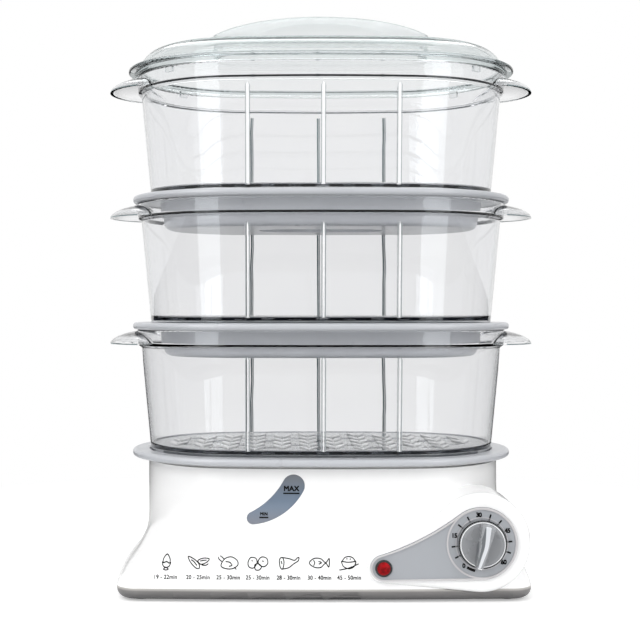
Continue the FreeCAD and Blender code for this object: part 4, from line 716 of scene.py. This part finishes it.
studio = {
    "cameraPlace": (-0.0279, -1.0, 0.2087), "lens": 71.66, "shift": (35 / 640, -13 / 640),
    "floorSize": 6.0, "floorColour": (0.86, 0.86, 0.86), "floorGlow": 0.38,
    "floorFade": (0.22, 0.6),
    "ambient": 0.55,
    "lamps": [
        # place, aimed at, size, power
        ((-0.9, -1.1, 1.3), (0, 0, 0.2), 1.2, 11.0),
        ((1.1, -0.9, 0.9), (0, 0, 0.2), 1.0, 3.5),
        ((0.0, 0.5, 1.5), (0, 0, 0.2), 1.4, 9.0),
        # narrow ones whose reflections run down the ends of the baskets
        ((-0.62, -0.75, 0.25), (0, 0, 0.25), (0.42, 1.5), 4.4),
        ((0.62, -0.75, 0.25), (0, 0, 0.25), (0.46, 1.5), 4.8),
    ],
}


def makeStudio():
    camera = bpy.data.objects.new("camera", bpy.data.cameras.new("camera"))
    scene.collection.objects.link(camera)
    camera.location = studio["cameraPlace"]
    camera.rotation_euler = (math.radians(90), 0, 0)
    camera.data.sensor_width = 36
    camera.data.lens = studio["lens"]
    camera.data.shift_x, camera.data.shift_y = studio["shift"]
    scene.camera = camera
    scene.view_settings.view_transform = "Standard"
    for number, (place, aim, size, power) in enumerate(studio["lamps"]):
        data = bpy.data.lights.new("softbox%d" % number, "AREA")
        data.shape = "RECTANGLE"
        data.size, data.size_y = size if isinstance(size, tuple) else (size, size)
        data.energy = power
        lamp = bpy.data.objects.new("softbox%d" % number, data)
        scene.collection.objects.link(lamp)
        lamp.location = place
        lamp.rotation_euler = (Vector(aim) - Vector(place)).to_track_quat("-Z", "Y").to_euler()
    world = bpy.data.worlds.new("room")
    scene.world = world
    world.use_nodes = True
    tree = world.node_tree
    back = tree.nodes["Background"]
    back.inputs["Color"].default_value = (1, 1, 1, 1)
    path = tree.nodes.new("ShaderNodeLightPath")
    seen = tree.nodes.new("ShaderNodeMath")
    seen.operation = "MAXIMUM"
    joined(tree, path.outputs["Is Camera Ray"], seen.inputs[0])
    joined(tree, path.outputs["Is Transmission Ray"], seen.inputs[1])
    seenToo = tree.nodes.new("ShaderNodeMath")
    seenToo.operation = "MAXIMUM"
    joined(tree, seen.outputs[0], seenToo.inputs[0])
    joined(tree, path.outputs["Is Glossy Ray"], seenToo.inputs[1])
    level = tree.nodes.new("ShaderNodeMapRange")
    level.inputs["To Min"].default_value = studio["ambient"]
    level.inputs["To Max"].default_value = 1.0
    joined(tree, seenToo.outputs[0], level.inputs["Value"])
    joined(tree, level.outputs["Result"], back.inputs["Strength"])


def makeFloor():
    mesh = bpy.data.meshes.new("floor")
    half = studio["floorSize"] / 2
    mesh.from_pydata([(-half, -half, 0), (half, -half, 0), (half, half, 0), (-half, half, 0)], [], [(0, 1, 2, 3)])
    floor = bpy.data.objects.new("floor", mesh)
    scene.collection.objects.link(floor)
    material, tree, shader = newTree("paleFloor")
    shader.inputs["Roughness"].default_value = 0.9
    shader.inputs["Specular IOR Level"].default_value = 0.0
    shader.inputs["Emission Color"].default_value = (1, 1, 1, 1)
    path = tree.nodes.new("ShaderNodeLightPath")
    seen = tree.nodes.new("ShaderNodeMath")
    seen.operation = "MAXIMUM"
    joined(tree, path.outputs["Is Camera Ray"], seen.inputs[0])
    joined(tree, path.outputs["Is Transmission Ray"], seen.inputs[1])
    where = tree.nodes.new("ShaderNodeTexCoord")
    away = tree.nodes.new("ShaderNodeVectorMath")
    away.operation = "LENGTH"
    joined(tree, where.outputs["Object"], away.inputs[0])
    fade = tree.nodes.new("ShaderNodeMapRange")
    near, far = studio["floorFade"]
    fade.inputs["From Min"].default_value = near
    fade.inputs["From Max"].default_value = far
    fade.inputs["To Min"].default_value = studio["floorGlow"]
    fade.inputs["To Max"].default_value = 1.0
    joined(tree, away.outputs["Value"], fade.inputs["Value"])
    reach = tree.nodes.new("ShaderNodeMapRange")
    reach.inputs["From Min"].default_value = near
    reach.inputs["From Max"].default_value = far
    joined(tree, away.outputs["Value"], reach.inputs["Value"])
    joined(tree, mixed(tree, reach.outputs["Result"], studio["floorColour"], (0, 0, 0)), shader.inputs["Base Color"])
    glow = tree.nodes.new("ShaderNodeMath")
    glow.operation = "MULTIPLY"
    joined(tree, seen.outputs[0], glow.inputs[0])
    joined(tree, fade.outputs["Result"], glow.inputs[1])
    joined(tree, glow.outputs[0], shader.inputs["Emission Strength"])
    mesh.materials.append(material)


makeStudio()
makeFloor()
print("studio set")
